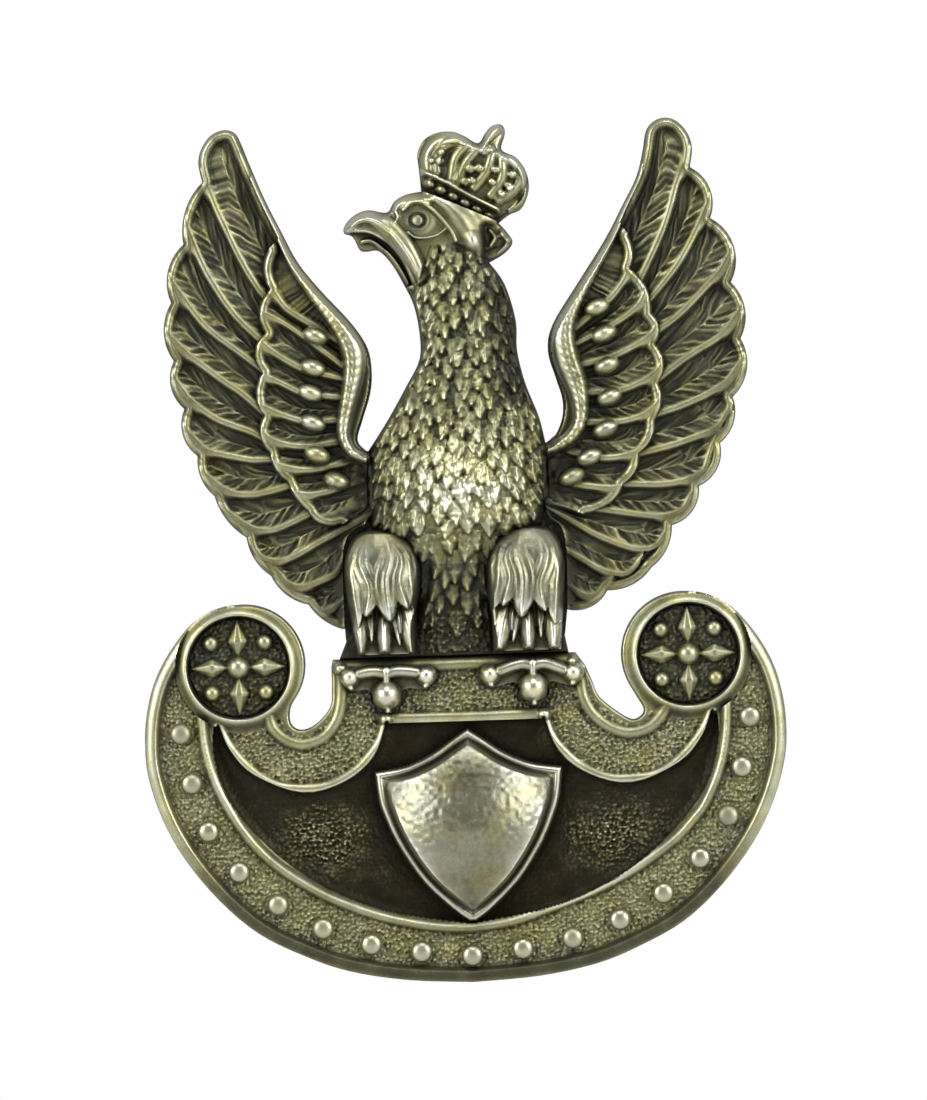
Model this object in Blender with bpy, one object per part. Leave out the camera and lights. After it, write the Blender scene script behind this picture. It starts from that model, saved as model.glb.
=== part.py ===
"""Crowned-eagle cap badge on a crescent shield, with its threaded post, washer and round nut.

The badge stands upright: +Z up, its face towards -Y. The origin is on the post's axis, on the
badge's flat back plane, y = 0. Outlines are (x, z) points in millimetres, seen from the front.
Heights are millimetres of relief, measured forward from the back plane.
"""
import math

import bmesh
import bpy
import numpy as np

MM = 0.001

# Driving dimensions, in millimetres.
SEAM = 0.06                 # clearance between neighbouring pieces
PLATE = 1.7                 # thickness of the crescent plate at its rim band and scrolls
FLOOR = 1.0                 # thickness left under the pockets of the crescent plate
SLAB = 1.6                  # thickness of the slab behind legs and tail
WING = 1.7                  # thickness of the flight-feather plates
WING_EDGE = 0.3
COVERTS = 0.85              # rise of the covert layers above the wing plates
COVERTS_EDGE = 0.25
EDGE = 0.4                  # width of the sloped edges
ROUNDEL = (13.52, -3.05)    # centre of the right-hand roundel
ROUNDEL_OUTER = 4.0
ROUNDEL_POCKET = 3.1
ROSETTE_RADIUS = 3.0
ROSETTE_THICKNESS = 0.35
LOZENGE_ENDS = (0.75, 2.85)  # inner and outer tip, from the rosette's centre
LOZENGE_MIDDLE = 1.7
LOZENGE_HALF_WIDTH = 0.45
LOZENGE_CREST = 2.05
BOSS_RADII = (0.58, 0.42)   # centre boss, corner bosses
BOSS_OFFSET = (1.62, 1.5)
STUD_RADIUS = 0.64
STUDS_PER_SIDE = 8
POST_PITCH = 0.5            # M3 thread
POST_CREST = 1.5
POST_ROOT = 1.2
POST_LENGTH = 9.6
POST_DISC_RADIUS = 4.2
POST_SHANK = 1.18            # smooth foot of the post, in the disc's hole
POST_DISC = 0.6
THREAD_CLEARANCE = 0.12
THREAD_SIDES = 18
WASHER_RADIUS = 6.2
WASHER_BORE = 1.75
WASHER_FRONT = 2.6
WASHER = 0.6
NUT_RADIUS = 5.0
NUT_HEIGHT = 3.0
NUT_SIDES = 72
PIN_RADIUS = 0.6
PIN_LENGTH = 4.0
PIN_PLACES = {"left": (-11.6, 11.0), "right": (11.8, 11.0)}

SILVER = (0.42, 0.40, 0.33)
DARK_SILVER = (0.16, 0.15, 0.12)
BRIGHT_SILVER = (0.62, 0.60, 0.53)
STEEL = (0.55, 0.55, 0.54)

# Crescent plate, right half, from the bottom up to the roundel's top.
PLATE_OUTER = [(0, -22.4), (4.0, -22.15), (7.5, -21.5), (10.15, -20.5), (12.8, -19.1),
               (15.1, -17.05), (17.1, -14.5), (18.4, -12.0), (19.15, -9.5), (19.3, -7.5),
               (19.1, -5.5), (18.5, -3.5), (17.3, -1.5), (15.8, 0.0), (13.55, 0.72)]
# Notch between a roundel and the top bar, from the roundel down and up to the bar's corner.
NOTCH_RIGHT = [(10.0, -4.9), (10.4, -5.6), (10.78, -6.4), (10.2, -6.9), (9.4, -6.55),
               (8.14, -5.5), (7.7, -4.5), (7.3, -3.5)]
NOTCH_LEFT = [(-7.95, -3.2), (-7.95, -4.4), (-8.1, -5.6), (-9.0, -6.6), (-9.9, -6.92),
              (-10.5, -6.5), (-10.5, -5.6), (-10.1, -4.9)]
BAR_TOP = -2.76
BAR_CORNERS = (-7.85, 6.75)
# Pocket of the dark field: along the rim band, then back under the scrolls and the bar.
FIELD_RIM = [(15.1, -6.5), (15.2, -8.0), (14.6, -10.5), (12.9, -13.0), (9.7, -15.8),
             (5.4, -17.85), (0, -18.85)]
FIELD_SCROLL = [(14.85, -6.5), (14.2, -8.1), (12.8, -9.6), (9.9, -10.75), (7.3, -10.15),
                (5.5, -8.7), (4.7, -6.65)]

ESCUTCHEON_TOP = [(0, -7.1), (2.0, -8.45), (3.9, -9.2), (5.65, -9.55)]
ESCUTCHEON_SIDE = [(5.65, -9.55), (5.25, -12.0), (4.4, -14.0), (2.9, -16.3), (0.25, -18.6)]
ESCUTCHEON_X = 0.1

# Neck and chest: height up the badge, centre, half width and crest of the relief.
CHEST_Z = (2.9, 4.0, 5.1, 7.0, 9.0, 11.0, 13.0, 15.0, 17.0, 19.0, 21.0)
CHEST_CENTRE = (-0.4, -0.4, -0.1, 0.0, 0.1, 0.3, 0.6, 0.9, 0.85, 0.5, 0.0)
CHEST_HALF = (2.0, 3.0, 4.9, 5.2, 5.3, 4.8, 3.9, 3.05, 2.95, 3.1, 3.2)
CHEST_CREST = (2.9, 3.5, 4.0, 4.4, 4.5, 4.3, 4.0, 3.7, 3.5, 3.4, 3.3)

NECK_LEFT = [(-2.75, 19.45), (-2.34, 18.5), (-2.05, 17.0), (-2.05, 15.2), (-2.94, 13.5),
             (-4.12, 11.5), (-5.3, 9.75)]
NECK_RIGHT = [(5.35, 9.9), (5.0, 11.5), (4.26, 13.5), (3.82, 15.5), (3.8, 17.3),
              (3.2, 19.5), (2.3, 20.85)]
SEAM_LEFT = [(-5.3, 9.75), (-5.15, 8.0), (-5.3, 5.7), (-6.6, 4.8), (-7.05, 3.2), (-7.05, -0.9)]
SEAM_RIGHT = [(6.35, -0.15), (6.4, 3.2), (6.15, 4.8), (5.3, 5.7), (5.15, 8.0), (5.35, 9.9)]
BODY_FOOT = [(-7.0, -1.7), (-7.45, BAR_TOP + SEAM), (6.35, BAR_TOP + SEAM), (6.15, -1.7)]

# Wings: outer edge as scallops, (notch, crown of the scallop) pairs, then the inner edge.
WING_LEFT_TIP = [(-12.05, 27.5), (-12.42, 28.5), (-12.75, 29.1), (-13.4, 29.3), (-14.2, 29.0),
                 (-14.8, 28.2), (-15.0, 27.3), (-14.8, 26.2)]
WING_LEFT_SCALLOPS = [(-14.8, 26.2), (-15.95, 24.3), (-16.05, 22.5), (-17.1, 20.6),
                      (-16.9, 19.0), (-17.4, 17.3), (-16.85, 15.5), (-17.1, 14.1),
                      (-16.3, 12.6), (-16.5, 11.3), (-15.6, 9.75), (-15.5, 8.6),
                      (-14.65, 7.3), (-14.0, 5.9), (-12.8, 4.75), (-12.35, 3.4),
                      (-11.4, 2.4), (-10.7, 1.4), (-9.2, 0.6), (-8.2, -0.45), (-7.13, -0.95)]
WING_LEFT_INNER = [(-5.4, 9.72), (-5.95, 10.4), (-5.62, 11.6), (-5.1, 13.2), (-4.97, 14.6),
                   (-5.2, 16.0), (-6.14, 17.5), (-7.9, 19.5), (-9.2, 21.2), (-10.1, 23.0),
                   (-11.1, 25.1), (-12.05, 27.5)]
WING_RIGHT_TIP = [(11.8, 27.5), (12.0, 28.5), (12.5, 29.05), (13.2, 29.22), (13.9, 28.95),
                  (14.5, 28.2), (14.72, 27.3), (14.55, 26.2)]
WING_RIGHT_SCALLOPS = [(14.55, 26.2), (15.75, 24.8), (15.68, 23.1), (17.1, 21.2), (16.8, 19.2),
                       (17.62, 17.5), (17.28, 15.8), (17.65, 14.3), (16.7, 12.3),
                       (16.8, 11.1), (15.85, 9.55), (15.8, 8.4), (14.5, 7.0), (14.25, 5.8),
                       (12.8, 4.7), (12.6, 3.6), (11.5, 2.2), (10.6, 1.35), (8.8, 0.9),
                       (7.9, 0.0), (6.45, -0.2)]
WING_RIGHT_INNER = [(5.45, 9.95), (6.0, 10.4), (6.42, 11.4), (6.46, 12.5), (6.1, 13.8),
                    (5.68, 15.4), (6.0, 17.0), (7.6, 19.45), (9.3, 22.0), (10.35, 23.9),
                    (11.35, 25.8), (11.8, 27.5)]
# Covert layers: scalloped outer edge going down, then the inner edge set in from the wing's.
COVERTS_LEFT_SCALLOPS = [(-11.0, 21.9), (-11.3, 20.6), (-11.0, 19.6), (-11.65, 18.3),
                         (-11.35, 17.0), (-12.0, 15.8), (-11.6, 14.6), (-12.0, 13.4),
                         (-11.6, 12.0), (-11.85, 11.0), (-11.3, 9.8), (-11.0, 8.8),
                         (-10.3, 8.0), (-9.8, 7.0), (-9.1, 6.2), (-8.4, 5.4), (-7.1, 5.3)]
COVERTS_LEFT_INNER = [(-5.7, 6.3), (-5.55, 9.3), (-6.5, 9.9), (-6.5, 11.0), (-5.65, 13.3),
                      (-5.55, 14.8), (-5.8, 16.0), (-6.8, 17.5), (-8.5, 19.6), (-9.9, 21.5)]
COVERTS_RIGHT_SCALLOPS = [(10.75, 22.1), (11.0, 20.9), (10.8, 20.2), (11.8, 18.9),
                          (12.0, 17.5), (12.45, 16.6), (12.2, 15.6), (12.65, 14.3),
                          (12.3, 13.2), (12.45, 12.2), (12.0, 11.0), (11.85, 10.1),
                          (11.0, 9.0), (10.85, 8.2), (10.0, 7.2), (9.4, 6.3), (7.6, 5.5)]
COVERTS_RIGHT_INNER = [(5.75, 6.3), (5.6, 9.3), (6.6, 10.0), (7.0, 11.2), (7.0, 12.6),
                       (6.6, 13.9), (6.2, 15.4), (6.5, 16.9), (8.1, 19.3), (9.7, 21.8)]

HEAD_LOOP = [(-1.65, 25.15), (-2.6, 25.05), (-3.3, 24.65), (-3.75, 24.02), (-4.85, 24.2),
             (-5.65, 23.95), (-6.25, 23.4), (-6.38, 22.9), (-5.85, 22.65), (-5.45, 21.85),
             (-5.0, 21.75), (-4.3, 21.75), (-3.5, 20.85), (-2.8, 19.52)]
HEAD_NAPE = [(2.35, 20.93), (3.2, 21.35), (3.75, 22.0), (3.3, 22.65), (2.9, 23.12)]
CROWN_LOOP = [(-1.65, 25.3), (-1.75, 26.6), (-1.8, 27.5), (-1.4, 28.3), (-0.6, 28.72),
              (0.3, 28.76), (1.0, 28.5), (1.85, 28.02), (2.3, 28.6), (2.75, 29.05),
              (3.3, 29.08), (3.5, 28.6), (3.25, 27.6), (4.1, 27.1), (4.7, 26.2),
              (4.82, 25.1), (4.35, 24.05), (3.6, 23.7), (2.95, 23.28)]

LEG_LEFT_LOOP = [(-2.9, -2.55), (-2.8, -0.3), (-2.4, 1.4), (-2.4, 3.1), (-3.2, 4.6),
                 (-4.7, 5.02), (-6.2, 4.65), (-6.95, 3.2), (-6.95, 1.4), (-6.65, -0.6),
                 (-6.3, -2.55)]
LEG_RIGHT_LOOP = [(1.85, -2.55), (1.75, -0.6), (1.5, 1.2), (1.6, 3.2), (2.3, 4.6),
                  (3.95, 5.05), (5.6, 4.6), (6.25, 3.0), (6.25, 1.4), (6.1, -0.3),
                  (5.9, -2.55)]
TAIL_LOOP = [(-2.2, 2.8), (-2.2, 1.2), (-2.6, -0.4), (-2.7, -2.55), (1.65, -2.55),
             (1.55, -0.5), (1.3, 1.2), (1.35, 2.8)]
# Relief of a leg and of the tail: height at the edge, then the crest's height up the piece.
LEG_EDGE = 1.9
THIGH_HALF = 2.6
THIGH_Z = (-2.6, 0.0, 2.5, 4.2, 5.1)
THIGH_CREST = (2.9, 3.6, 4.4, 4.2, 3.2)
TAIL_EDGE = 1.8
TAIL_CENTRE = -0.45
TAIL_HALF = 2.4
TAIL_Z = (-2.6, 0.5, 2.9)
TAIL_CREST = (2.0, 2.3, 2.8)


def spline(points, steps=3, closed=False):
    """Points of a smooth curve that passes through the given points."""
    count = len(points)
    spans = count if closed else count - 1
    result = []
    for span in range(spans):
        if closed:
            corners = [points[(span + shift) % count] for shift in (-1, 0, 1, 2)]
        else:
            corners = [points[min(max(span + shift, 0), count - 1)] for shift in (-1, 0, 1, 2)]
        p0, p1, p2, p3 = (np.array(corner, float) for corner in corners)
        for step in range(steps):
            t = step / steps
            curve = 2 * p1 + (p2 - p0) * t + (2 * p0 - 5 * p1 + 4 * p2 - p3) * t ** 2
            curve = curve + (3 * p1 - p0 - 3 * p2 + p3) * t ** 3
            result.append(tuple(curve / 2))
    if not closed:
        result.append(tuple(map(float, points[-1])))
    return result


def arc(start, middle, end, steps=4):
    """Points of the circular arc through three points."""
    ax, az = start
    bx, bz = middle
    cx, cz = end
    twice_area = 2 * (ax * (bz - cz) + bx * (cz - az) + cx * (az - bz))
    squares = [ax ** 2 + az ** 2, bx ** 2 + bz ** 2, cx ** 2 + cz ** 2]
    ox = (squares[0] * (bz - cz) + squares[1] * (cz - az) + squares[2] * (az - bz)) / twice_area
    oz = (squares[0] * (cx - bx) + squares[1] * (ax - cx) + squares[2] * (bx - ax)) / twice_area
    radius = math.hypot(ax - ox, az - oz)
    first = math.atan2(az - oz, ax - ox)
    turn = (math.atan2(cz - oz, cx - ox) - first) % math.tau
    half = (math.atan2(bz - oz, bx - ox) - first) % math.tau
    if half > turn:
        turn -= math.tau
    angles = [first + turn * step / steps for step in range(steps + 1)]
    return [(ox + radius * math.cos(a), oz + radius * math.sin(a)) for a in angles]


def scallops(points):
    """Arcs from notch to notch, each through the crown point between them."""
    result = []
    for index in range(0, len(points) - 2, 2):
        result += arc(points[index], points[index + 1], points[index + 2])
    return result


def outline(*runs):
    """One closed loop from runs of points, without the points that two runs share."""
    loop = []
    for point in (point for run in runs for point in run):
        if not loop or math.dist(point, loop[-1]) > 0.03:
            loop.append(point)
    if math.dist(loop[0], loop[-1]) < 0.03:
        loop.pop()
    return loop


def mirrored(points):
    return [(-x, z) for x, z in reversed(points)]


def shifted(points, dx):
    return [(x + dx, z) for x, z in points]


def circle(centre, radius, sides):
    angles = [math.tau * side / sides for side in range(sides)]
    return [(centre[0] + radius * math.cos(a), centre[1] + radius * math.sin(a)) for a in angles]


def inset(loop, distance):
    """The loop moved inwards by a distance, corner by corner."""
    points = np.array(loop)
    if signed_area(loop) < 0:
        distance = -distance
    edges = np.roll(points, -1, axis=0) - points
    edges /= np.linalg.norm(edges, axis=1)[:, None]
    normals = np.stack([-edges[:, 1], edges[:, 0]], axis=1)
    bisectors = normals + np.roll(normals, 1, axis=0)
    lengths = (bisectors ** 2).sum(axis=1) / 2
    offsets = bisectors / np.maximum(lengths, 0.5)[:, None]
    return [tuple(point) for point in points + offsets * distance]


def signed_area(loop):
    x, z = np.array(loop).T
    return 0.5 * float(np.dot(x, np.roll(z, -1)) - np.dot(z, np.roll(x, -1)))


def material(name, colour, roughness, metallic=1.0):
    finish = bpy.data.materials.new(name)
    finish.use_nodes = True
    shader = finish.node_tree.nodes["Principled BSDF"]
    shader.inputs["Base Color"].default_value = (*colour, 1)
    shader.inputs["Roughness"].default_value = roughness
    shader.inputs["Metallic"].default_value = metallic
    finish.diffuse_color = (*colour, 1)
    return finish


def add_object(name, vertices, faces, colour=SILVER, roughness=0.4):
    """A closed mesh from points in millimetres, with its faces turned outwards."""
    mesh = bpy.data.meshes.new(name)
    mesh.from_pydata([tuple(MM * value for value in vertex) for vertex in vertices], [], faces)
    work = bmesh.new()
    work.from_mesh(mesh)
    bmesh.ops.recalc_face_normals(work, faces=work.faces)
    work.to_mesh(mesh)
    work.free()
    mesh.materials.append(material(f"{name}_finish", colour, roughness))
    thing = bpy.data.objects.new(name, mesh)
    bpy.context.scene.collection.objects.link(thing)
    mesh.shade_smooth()
    mesh.set_sharp_from_angle(angle=math.radians(35))
    return thing


def stack(rings, closed_ends=True):
    """Vertices and faces of a body skinned over rings that have the same number of points."""
    count = len(rings[0])
    vertices = [vertex for ring in rings for vertex in ring]
    faces = []
    for level in range(len(rings) - 1 if closed_ends else len(rings)):
        low = level * count
        high = (level + 1) % len(rings) * count
        for side in range(count):
            turn = (side + 1) % count
            faces.append((low + side, low + turn, high + turn, high + side))
    if closed_ends:
        faces.append(tuple(range(count)))
        faces.append(tuple(range(len(vertices) - count, len(vertices))))
    return vertices, faces


def add_prism(name, loop, back, front, edge=0.0, **look):
    """An extruded outline from height back to height front, its front edge sloped."""
    rings = [[(x, -back, z) for x, z in loop]]
    if edge:
        rings.append([(x, edge - front, z) for x, z in loop])
        loop = inset(loop, edge)
    rings.append([(x, -front, z) for x, z in loop])
    return add_object(name, *stack(rings), **look)


def add_turned(name, profile, sides, centre=(0.0, 0.0), ring=False, wave=None, **look):
    """A body turned about Y from (radius, y) points. A ring has a closed profile and a bore."""
    rings = []
    for radius, y in profile:
        circle_points = []
        for side in range(sides):
            angle = math.tau * side / sides
            local = radius + wave(radius, side) if wave else radius
            circle_points.append((centre[0] + local * math.sin(angle), y,
                                  centre[1] + local * math.cos(angle)))
        rings.append(circle_points)
    return add_object(name, *stack(rings, closed_ends=not ring), **look)


def as_tool(thing):
    """Keeps a cutter or an added shape out of the model."""
    thing.hide_render = True
    thing.display_type = "WIRE"
    return thing


def combine(target, tool, operation):
    modifier = target.modifiers.new(operation.title(), "BOOLEAN")
    modifier.operation = operation
    modifier.object = as_tool(tool)
    modifier.solver = "EXACT"
    return target


def add_relief(name, loop, back, height, cell, **look):
    """A block with a modelled front surface, cut to an outline. height(x, z) is its relief."""
    xs, zs = zip(*loop)
    columns = max(2, round((max(xs) - min(xs)) / cell) + 1)
    rows = max(2, round((max(zs) - min(zs)) / cell) + 1)
    grid_x = np.linspace(min(xs) - 0.2, max(xs) + 0.2, columns)
    grid_z = np.linspace(min(zs) - 0.2, max(zs) + 0.2, rows)
    vertices = [(x, -height(x, z), z) for z in grid_z for x in grid_x]
    faces = []
    for row in range(rows - 1):
        for column in range(columns - 1):
            a = row * columns + column
            b, c, d = a + 1, a + columns + 1, a + columns
            faces += [(a, b, c), (a, c, d)]
    rim = [column for column in range(columns)]
    rim += [row * columns + columns - 1 for row in range(1, rows)]
    rim += [(rows - 1) * columns + column for column in range(columns - 2, -1, -1)]
    rim += [row * columns for row in range(rows - 2, 0, -1)]
    base = len(vertices)
    vertices += [(vertices[index][0], -back, vertices[index][2]) for index in rim]
    for place, index in enumerate(rim):
        following = (place + 1) % len(rim)
        faces.append((index, base + place, base + following, rim[following]))
    faces.append(tuple(base + place for place in range(len(rim))))
    block = add_object(name, vertices, faces, **look)
    cutter = add_prism(f"{name}_outline", loop, back - 1.0, 8.0)
    return combine(block, cutter, "INTERSECT")


def dome(value):
    """A quarter-circle fall-off: 1 at the centre, 0 at and beyond the edge."""
    return math.sqrt(max(0.0, 1.0 - value * value))


def thread_wave(angle, y):
    """0 at a thread's root and 1 at its crest; the helix is right-handed about +Y."""
    phase = (y / POST_PITCH - angle / math.tau) % 1.0
    return 1.0 - abs(2.0 * phase - 1.0)


def add_thread(name, start, end, clearance, run_out, **look):
    """A threaded rod along Y. run_out is the length over which the thread fades at the ends."""
    step = POST_PITCH / 4
    rings = []
    for row in range(round((end - start) / step) + 1):
        y = start + row * step
        fade = min(1.0, (y - start) / run_out, (end - y) / run_out) if run_out else 1.0
        ring = []
        for side in range(THREAD_SIDES):
            angle = math.tau * side / THREAD_SIDES
            depth = (POST_CREST - POST_ROOT) * thread_wave(angle, y) * fade
            radius = POST_ROOT + clearance + depth
            ring.append((radius * math.sin(angle), y, radius * math.cos(angle)))
        rings.append(ring)
    return add_object(name, *stack(rings), **look)


def build_plate():
    """Crescent plate with pockets for the field and the two rosettes."""
    outer_right = spline(PLATE_OUTER)
    corner_left, corner_right = BAR_CORNERS
    roundel_top = (13.55, 0.72)
    around_right = arc(roundel_top, (ROUNDEL[0] - ROUNDEL_OUTER, -2.7), NOTCH_RIGHT[0], 14)
    around_left = arc(NOTCH_LEFT[-1], (-ROUNDEL[0] + ROUNDEL_OUTER, -2.7), (-13.55, 0.72), 14)
    bar = [(corner_right, BAR_TOP), (corner_left, BAR_TOP)]
    loop = outline(outer_right, around_right, spline(NOTCH_RIGHT), bar, spline(NOTCH_LEFT),
                   around_left, mirrored(outer_right))
    plate = add_prism("pelta_plate", loop, 0.0, PLATE, EDGE, colour=SILVER, roughness=0.42)
    scroll = spline(FIELD_SCROLL)
    rim = spline(FIELD_RIM)
    field = outline(rim, mirrored(rim), mirrored(scroll[::-1]), scroll[::-1])
    combine(plate, add_prism("field_cutter", field, FLOOR, PLATE + 1.0), "DIFFERENCE")
    for side, name in ((-1, "left"), (1, "right")):
        centre = (side * ROUNDEL[0], ROUNDEL[1])
        pocket = add_prism(f"pocket_cutter_{name}", circle(centre, ROUNDEL_POCKET, 36),
                           FLOOR, PLATE + 1.0)
        combine(plate, pocket, "DIFFERENCE")


def build_rosettes():
    """Disc with four lozenges in a cross, a centre boss and four small bosses."""
    disc_front = FLOOR + SEAM + ROSETTE_THICKNESS
    foot = disc_front - 0.2
    for side, name in ((-1, "left"), (1, "right")):
        centre = (side * ROUNDEL[0], ROUNDEL[1])
        profile = [(ROSETTE_RADIUS, -FLOOR - SEAM), (ROSETTE_RADIUS, -disc_front)]
        disc = add_turned(f"rosette_{name}", profile, 36, centre, colour=DARK_SILVER,
                          roughness=0.5)
        for number in range(4):
            angle = math.tau * number / 4
            along = (math.sin(angle), math.cos(angle))
            across = (along[1], -along[0])
            near, far = LOZENGE_ENDS
            corners = [(near, 0), (LOZENGE_MIDDLE, LOZENGE_HALF_WIDTH), (far, 0),
                       (LOZENGE_MIDDLE, -LOZENGE_HALF_WIDTH)]
            flat = [(centre[0] + a * along[0] + b * across[0],
                     centre[1] + a * along[1] + b * across[1]) for a, b in corners]
            vertices = [(x, -foot, z) for x, z in flat]
            vertices.append((centre[0] + LOZENGE_MIDDLE * along[0], -LOZENGE_CREST,
                             centre[1] + LOZENGE_MIDDLE * along[1]))
            faces = [(0, 1, 2, 3), (0, 1, 4), (1, 2, 4), (2, 3, 4), (3, 0, 4)]
            lozenge = add_object(f"lozenge_{name}_{number}", vertices, faces)
            combine(disc, lozenge, "UNION")
        places = [(0.0, 0.0, BOSS_RADII[0])]
        for step_x in (-1, 1):
            for step_z in (-1, 1):
                places.append((step_x * BOSS_OFFSET[0], step_z * BOSS_OFFSET[1], BOSS_RADII[1]))
        for number, (dx, dz, radius) in enumerate(places):
            profile = [(radius, -foot), (radius, -disc_front),
                       (radius * 0.75, -disc_front - radius * 0.55),
                       (radius * 0.25, -disc_front - radius * 0.8)]
            boss = add_turned(f"boss_{name}_{number}", profile, 12,
                              (centre[0] + dx, centre[1] + dz))
            combine(disc, boss, "UNION")


def build_studs():
    """Round-headed studs at equal steps along the middle of the rim band."""
    path = [(0, -20.75), (6.2, -19.85), (11.65, -17.3), (15.6, -12.85), (17.1, -6.92)]
    curve = np.array(spline(path, 12))
    steps = np.linalg.norm(np.diff(curve, axis=0), axis=1)
    travelled = np.concatenate([[0.0], np.cumsum(steps)])
    stops = np.linspace(0.0, travelled[-1], STUDS_PER_SIDE + 1)
    right = [(float(np.interp(stop, travelled, curve[:, 0])),
              float(np.interp(stop, travelled, curve[:, 1]))) for stop in stops]
    centres = mirrored(right)[:-1] + right
    base = PLATE + SEAM
    # Each row is a fraction of the stud's radius and a height above the rim band.
    head_shape = [(1.0, 0.0), (1.0, 0.12), (0.82, 0.38), (0.35, 0.56)]
    profile = [(STUD_RADIUS * part, -base - rise) for part, rise in head_shape]
    for number, centre in enumerate(centres, 1):
        add_turned(f"rim_stud_{number:02d}", profile, 14, centre, colour=BRIGHT_SILVER,
                   roughness=0.3)


def build_escutcheon():
    """Heart-shaped shield, domed in both directions."""
    top = spline(ESCUTCHEON_TOP)
    side = spline(ESCUTCHEON_SIDE)
    loop = outline(top, side, mirrored(side), mirrored(top))
    halves = sorted((z, x) for x, z in top + side)
    levels, widths = zip(*halves)

    edge, swell = 1.9, 0.8
    middle, reach = -12.4, 7.5

    def height(x, z):
        half = max(1.0, float(np.interp(z, levels, widths)))
        across = min(1.0, abs(x) / (half + 0.5))
        return edge + swell * dome(across) * dome((z - middle) / reach)

    shield = add_relief("escutcheon", loop, FLOOR + SEAM, height, 0.8, colour=BRIGHT_SILVER,
                        roughness=0.22)
    for thing in (shield, shield.modifiers[0].object):
        thing.location.x = ESCUTCHEON_X * MM


def chest_height(x, z):
    centre = np.interp(z, CHEST_Z, CHEST_CENTRE)
    half = np.interp(z, CHEST_Z, CHEST_HALF)
    crest = np.interp(z, CHEST_Z, CHEST_CREST)
    return SLAB + (crest - SLAB) * dome((x - centre) / (half + 0.15))


def build_body():
    """Torso: slab behind legs and tail, with the domed neck and chest raised on it."""
    loop = outline(spline(NECK_LEFT), spline(SEAM_LEFT), BODY_FOOT, spline(SEAM_RIGHT),
                   spline(NECK_RIGHT))
    torso = add_prism("torso", loop, 0.0, SLAB, colour=SILVER, roughness=0.35)
    chest_foot = [(-5.0, 5.2), (-2.35, 5.1), (-2.25, 2.9), (1.35, 2.9), (1.5, 5.1), (5.0, 5.2)]
    left = shifted(spline(NECK_LEFT), 0.05)
    right = shifted(spline(NECK_RIGHT), -0.05)
    chest = outline(left, [(-5.05, 7.5)], chest_foot, [(5.05, 7.5)], right)
    body = add_relief("chest_block", chest, 0.5, lambda x, z: chest_height(x, z) + 0.02, 0.85)
    combine(torso, body, "UNION")


def build_head():
    """Head with its hooked beak, and the tilted crown on top of it."""
    loop = outline(spline(HEAD_LOOP), spline(HEAD_NAPE))

    # Ellipsoid bulges: x and z of the middle, the two radii, and the rise above the edge.
    skull = (-0.4, 22.6, 4.6, 4.2, 2.4)
    beak = (-4.4, 23.1, 3.0, 2.4, 1.1)
    edge = 1.5

    def bulge(x, z, middle_x, middle_z, radius_x, radius_z, rise):
        return rise * dome(math.hypot((x - middle_x) / radius_x, (z - middle_z) / radius_z))

    def head_height(x, z):
        return edge + max(bulge(x, z, *skull), bulge(x, z, *beak))

    add_relief("head", loop, 0.0, head_height, 0.6, colour=SILVER, roughness=0.35)
    tilt = math.radians(-31)
    middle = (1.5, 26.1)
    half_length, half_height, rise = 3.6, 4.5, 1.7

    def crown_height(x, z):
        dx, dz = x - middle[0], z - middle[1]
        along = dx * math.cos(tilt) + dz * math.sin(tilt)
        return edge + rise * dome(along / half_length) * dome(min(1.0, abs(dz) / half_height))

    add_relief("crown", spline(CROWN_LOOP), 0.0, crown_height, 0.6, colour=SILVER,
               roughness=0.35)


def build_wings():
    """Scalloped flight-feather plates, each with a covert layer raised on it."""
    seam_left = [(x - SEAM, z) for x, z in spline(SEAM_LEFT)]
    seam_right = [(x + SEAM, z) for x, z in spline(SEAM_RIGHT)]
    wings = {
        "left": outline(spline(WING_LEFT_TIP), scallops(WING_LEFT_SCALLOPS), seam_left[::-1],
                        spline(WING_LEFT_INNER)),
        "right": outline(spline(WING_RIGHT_TIP), scallops(WING_RIGHT_SCALLOPS), seam_right,
                         spline(WING_RIGHT_INNER)),
    }
    coverts = {
        "left": outline(scallops(COVERTS_LEFT_SCALLOPS), spline(COVERTS_LEFT_INNER)),
        "right": outline(scallops(COVERTS_RIGHT_SCALLOPS), spline(COVERTS_RIGHT_INNER)),
    }
    for side in ("left", "right"):
        add_prism(f"wing_{side}", wings[side], 0.0, WING, WING_EDGE, colour=SILVER,
                  roughness=0.38)
        add_prism(f"coverts_{side}", coverts[side], WING + SEAM, WING + COVERTS, COVERTS_EDGE,
                  colour=SILVER, roughness=0.36)


def build_legs():
    """Thighs, feet and the tail panel between them."""
    legs = {"left": (LEG_LEFT_LOOP, -4.65), "right": (LEG_RIGHT_LOOP, 3.9)}
    for side, (points, middle) in legs.items():

        def thigh(x, z, middle=middle):
            crest = float(np.interp(z, THIGH_Z, THIGH_CREST))
            return LEG_EDGE + (crest - LEG_EDGE) * dome((x - middle) / THIGH_HALF)

        add_relief(f"leg_{side}", outline(spline(points)), SLAB + SEAM, thigh, 0.7,
                   colour=BRIGHT_SILVER, roughness=0.32)

    def tail_height(x, z):
        crest = float(np.interp(z, TAIL_Z, TAIL_CREST))
        return TAIL_EDGE + (crest - TAIL_EDGE) * dome((x - TAIL_CENTRE) / TAIL_HALF)

    add_relief("tail", TAIL_LOOP, SLAB + SEAM, tail_height, 0.8,
               colour=DARK_SILVER, roughness=0.5)


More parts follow.
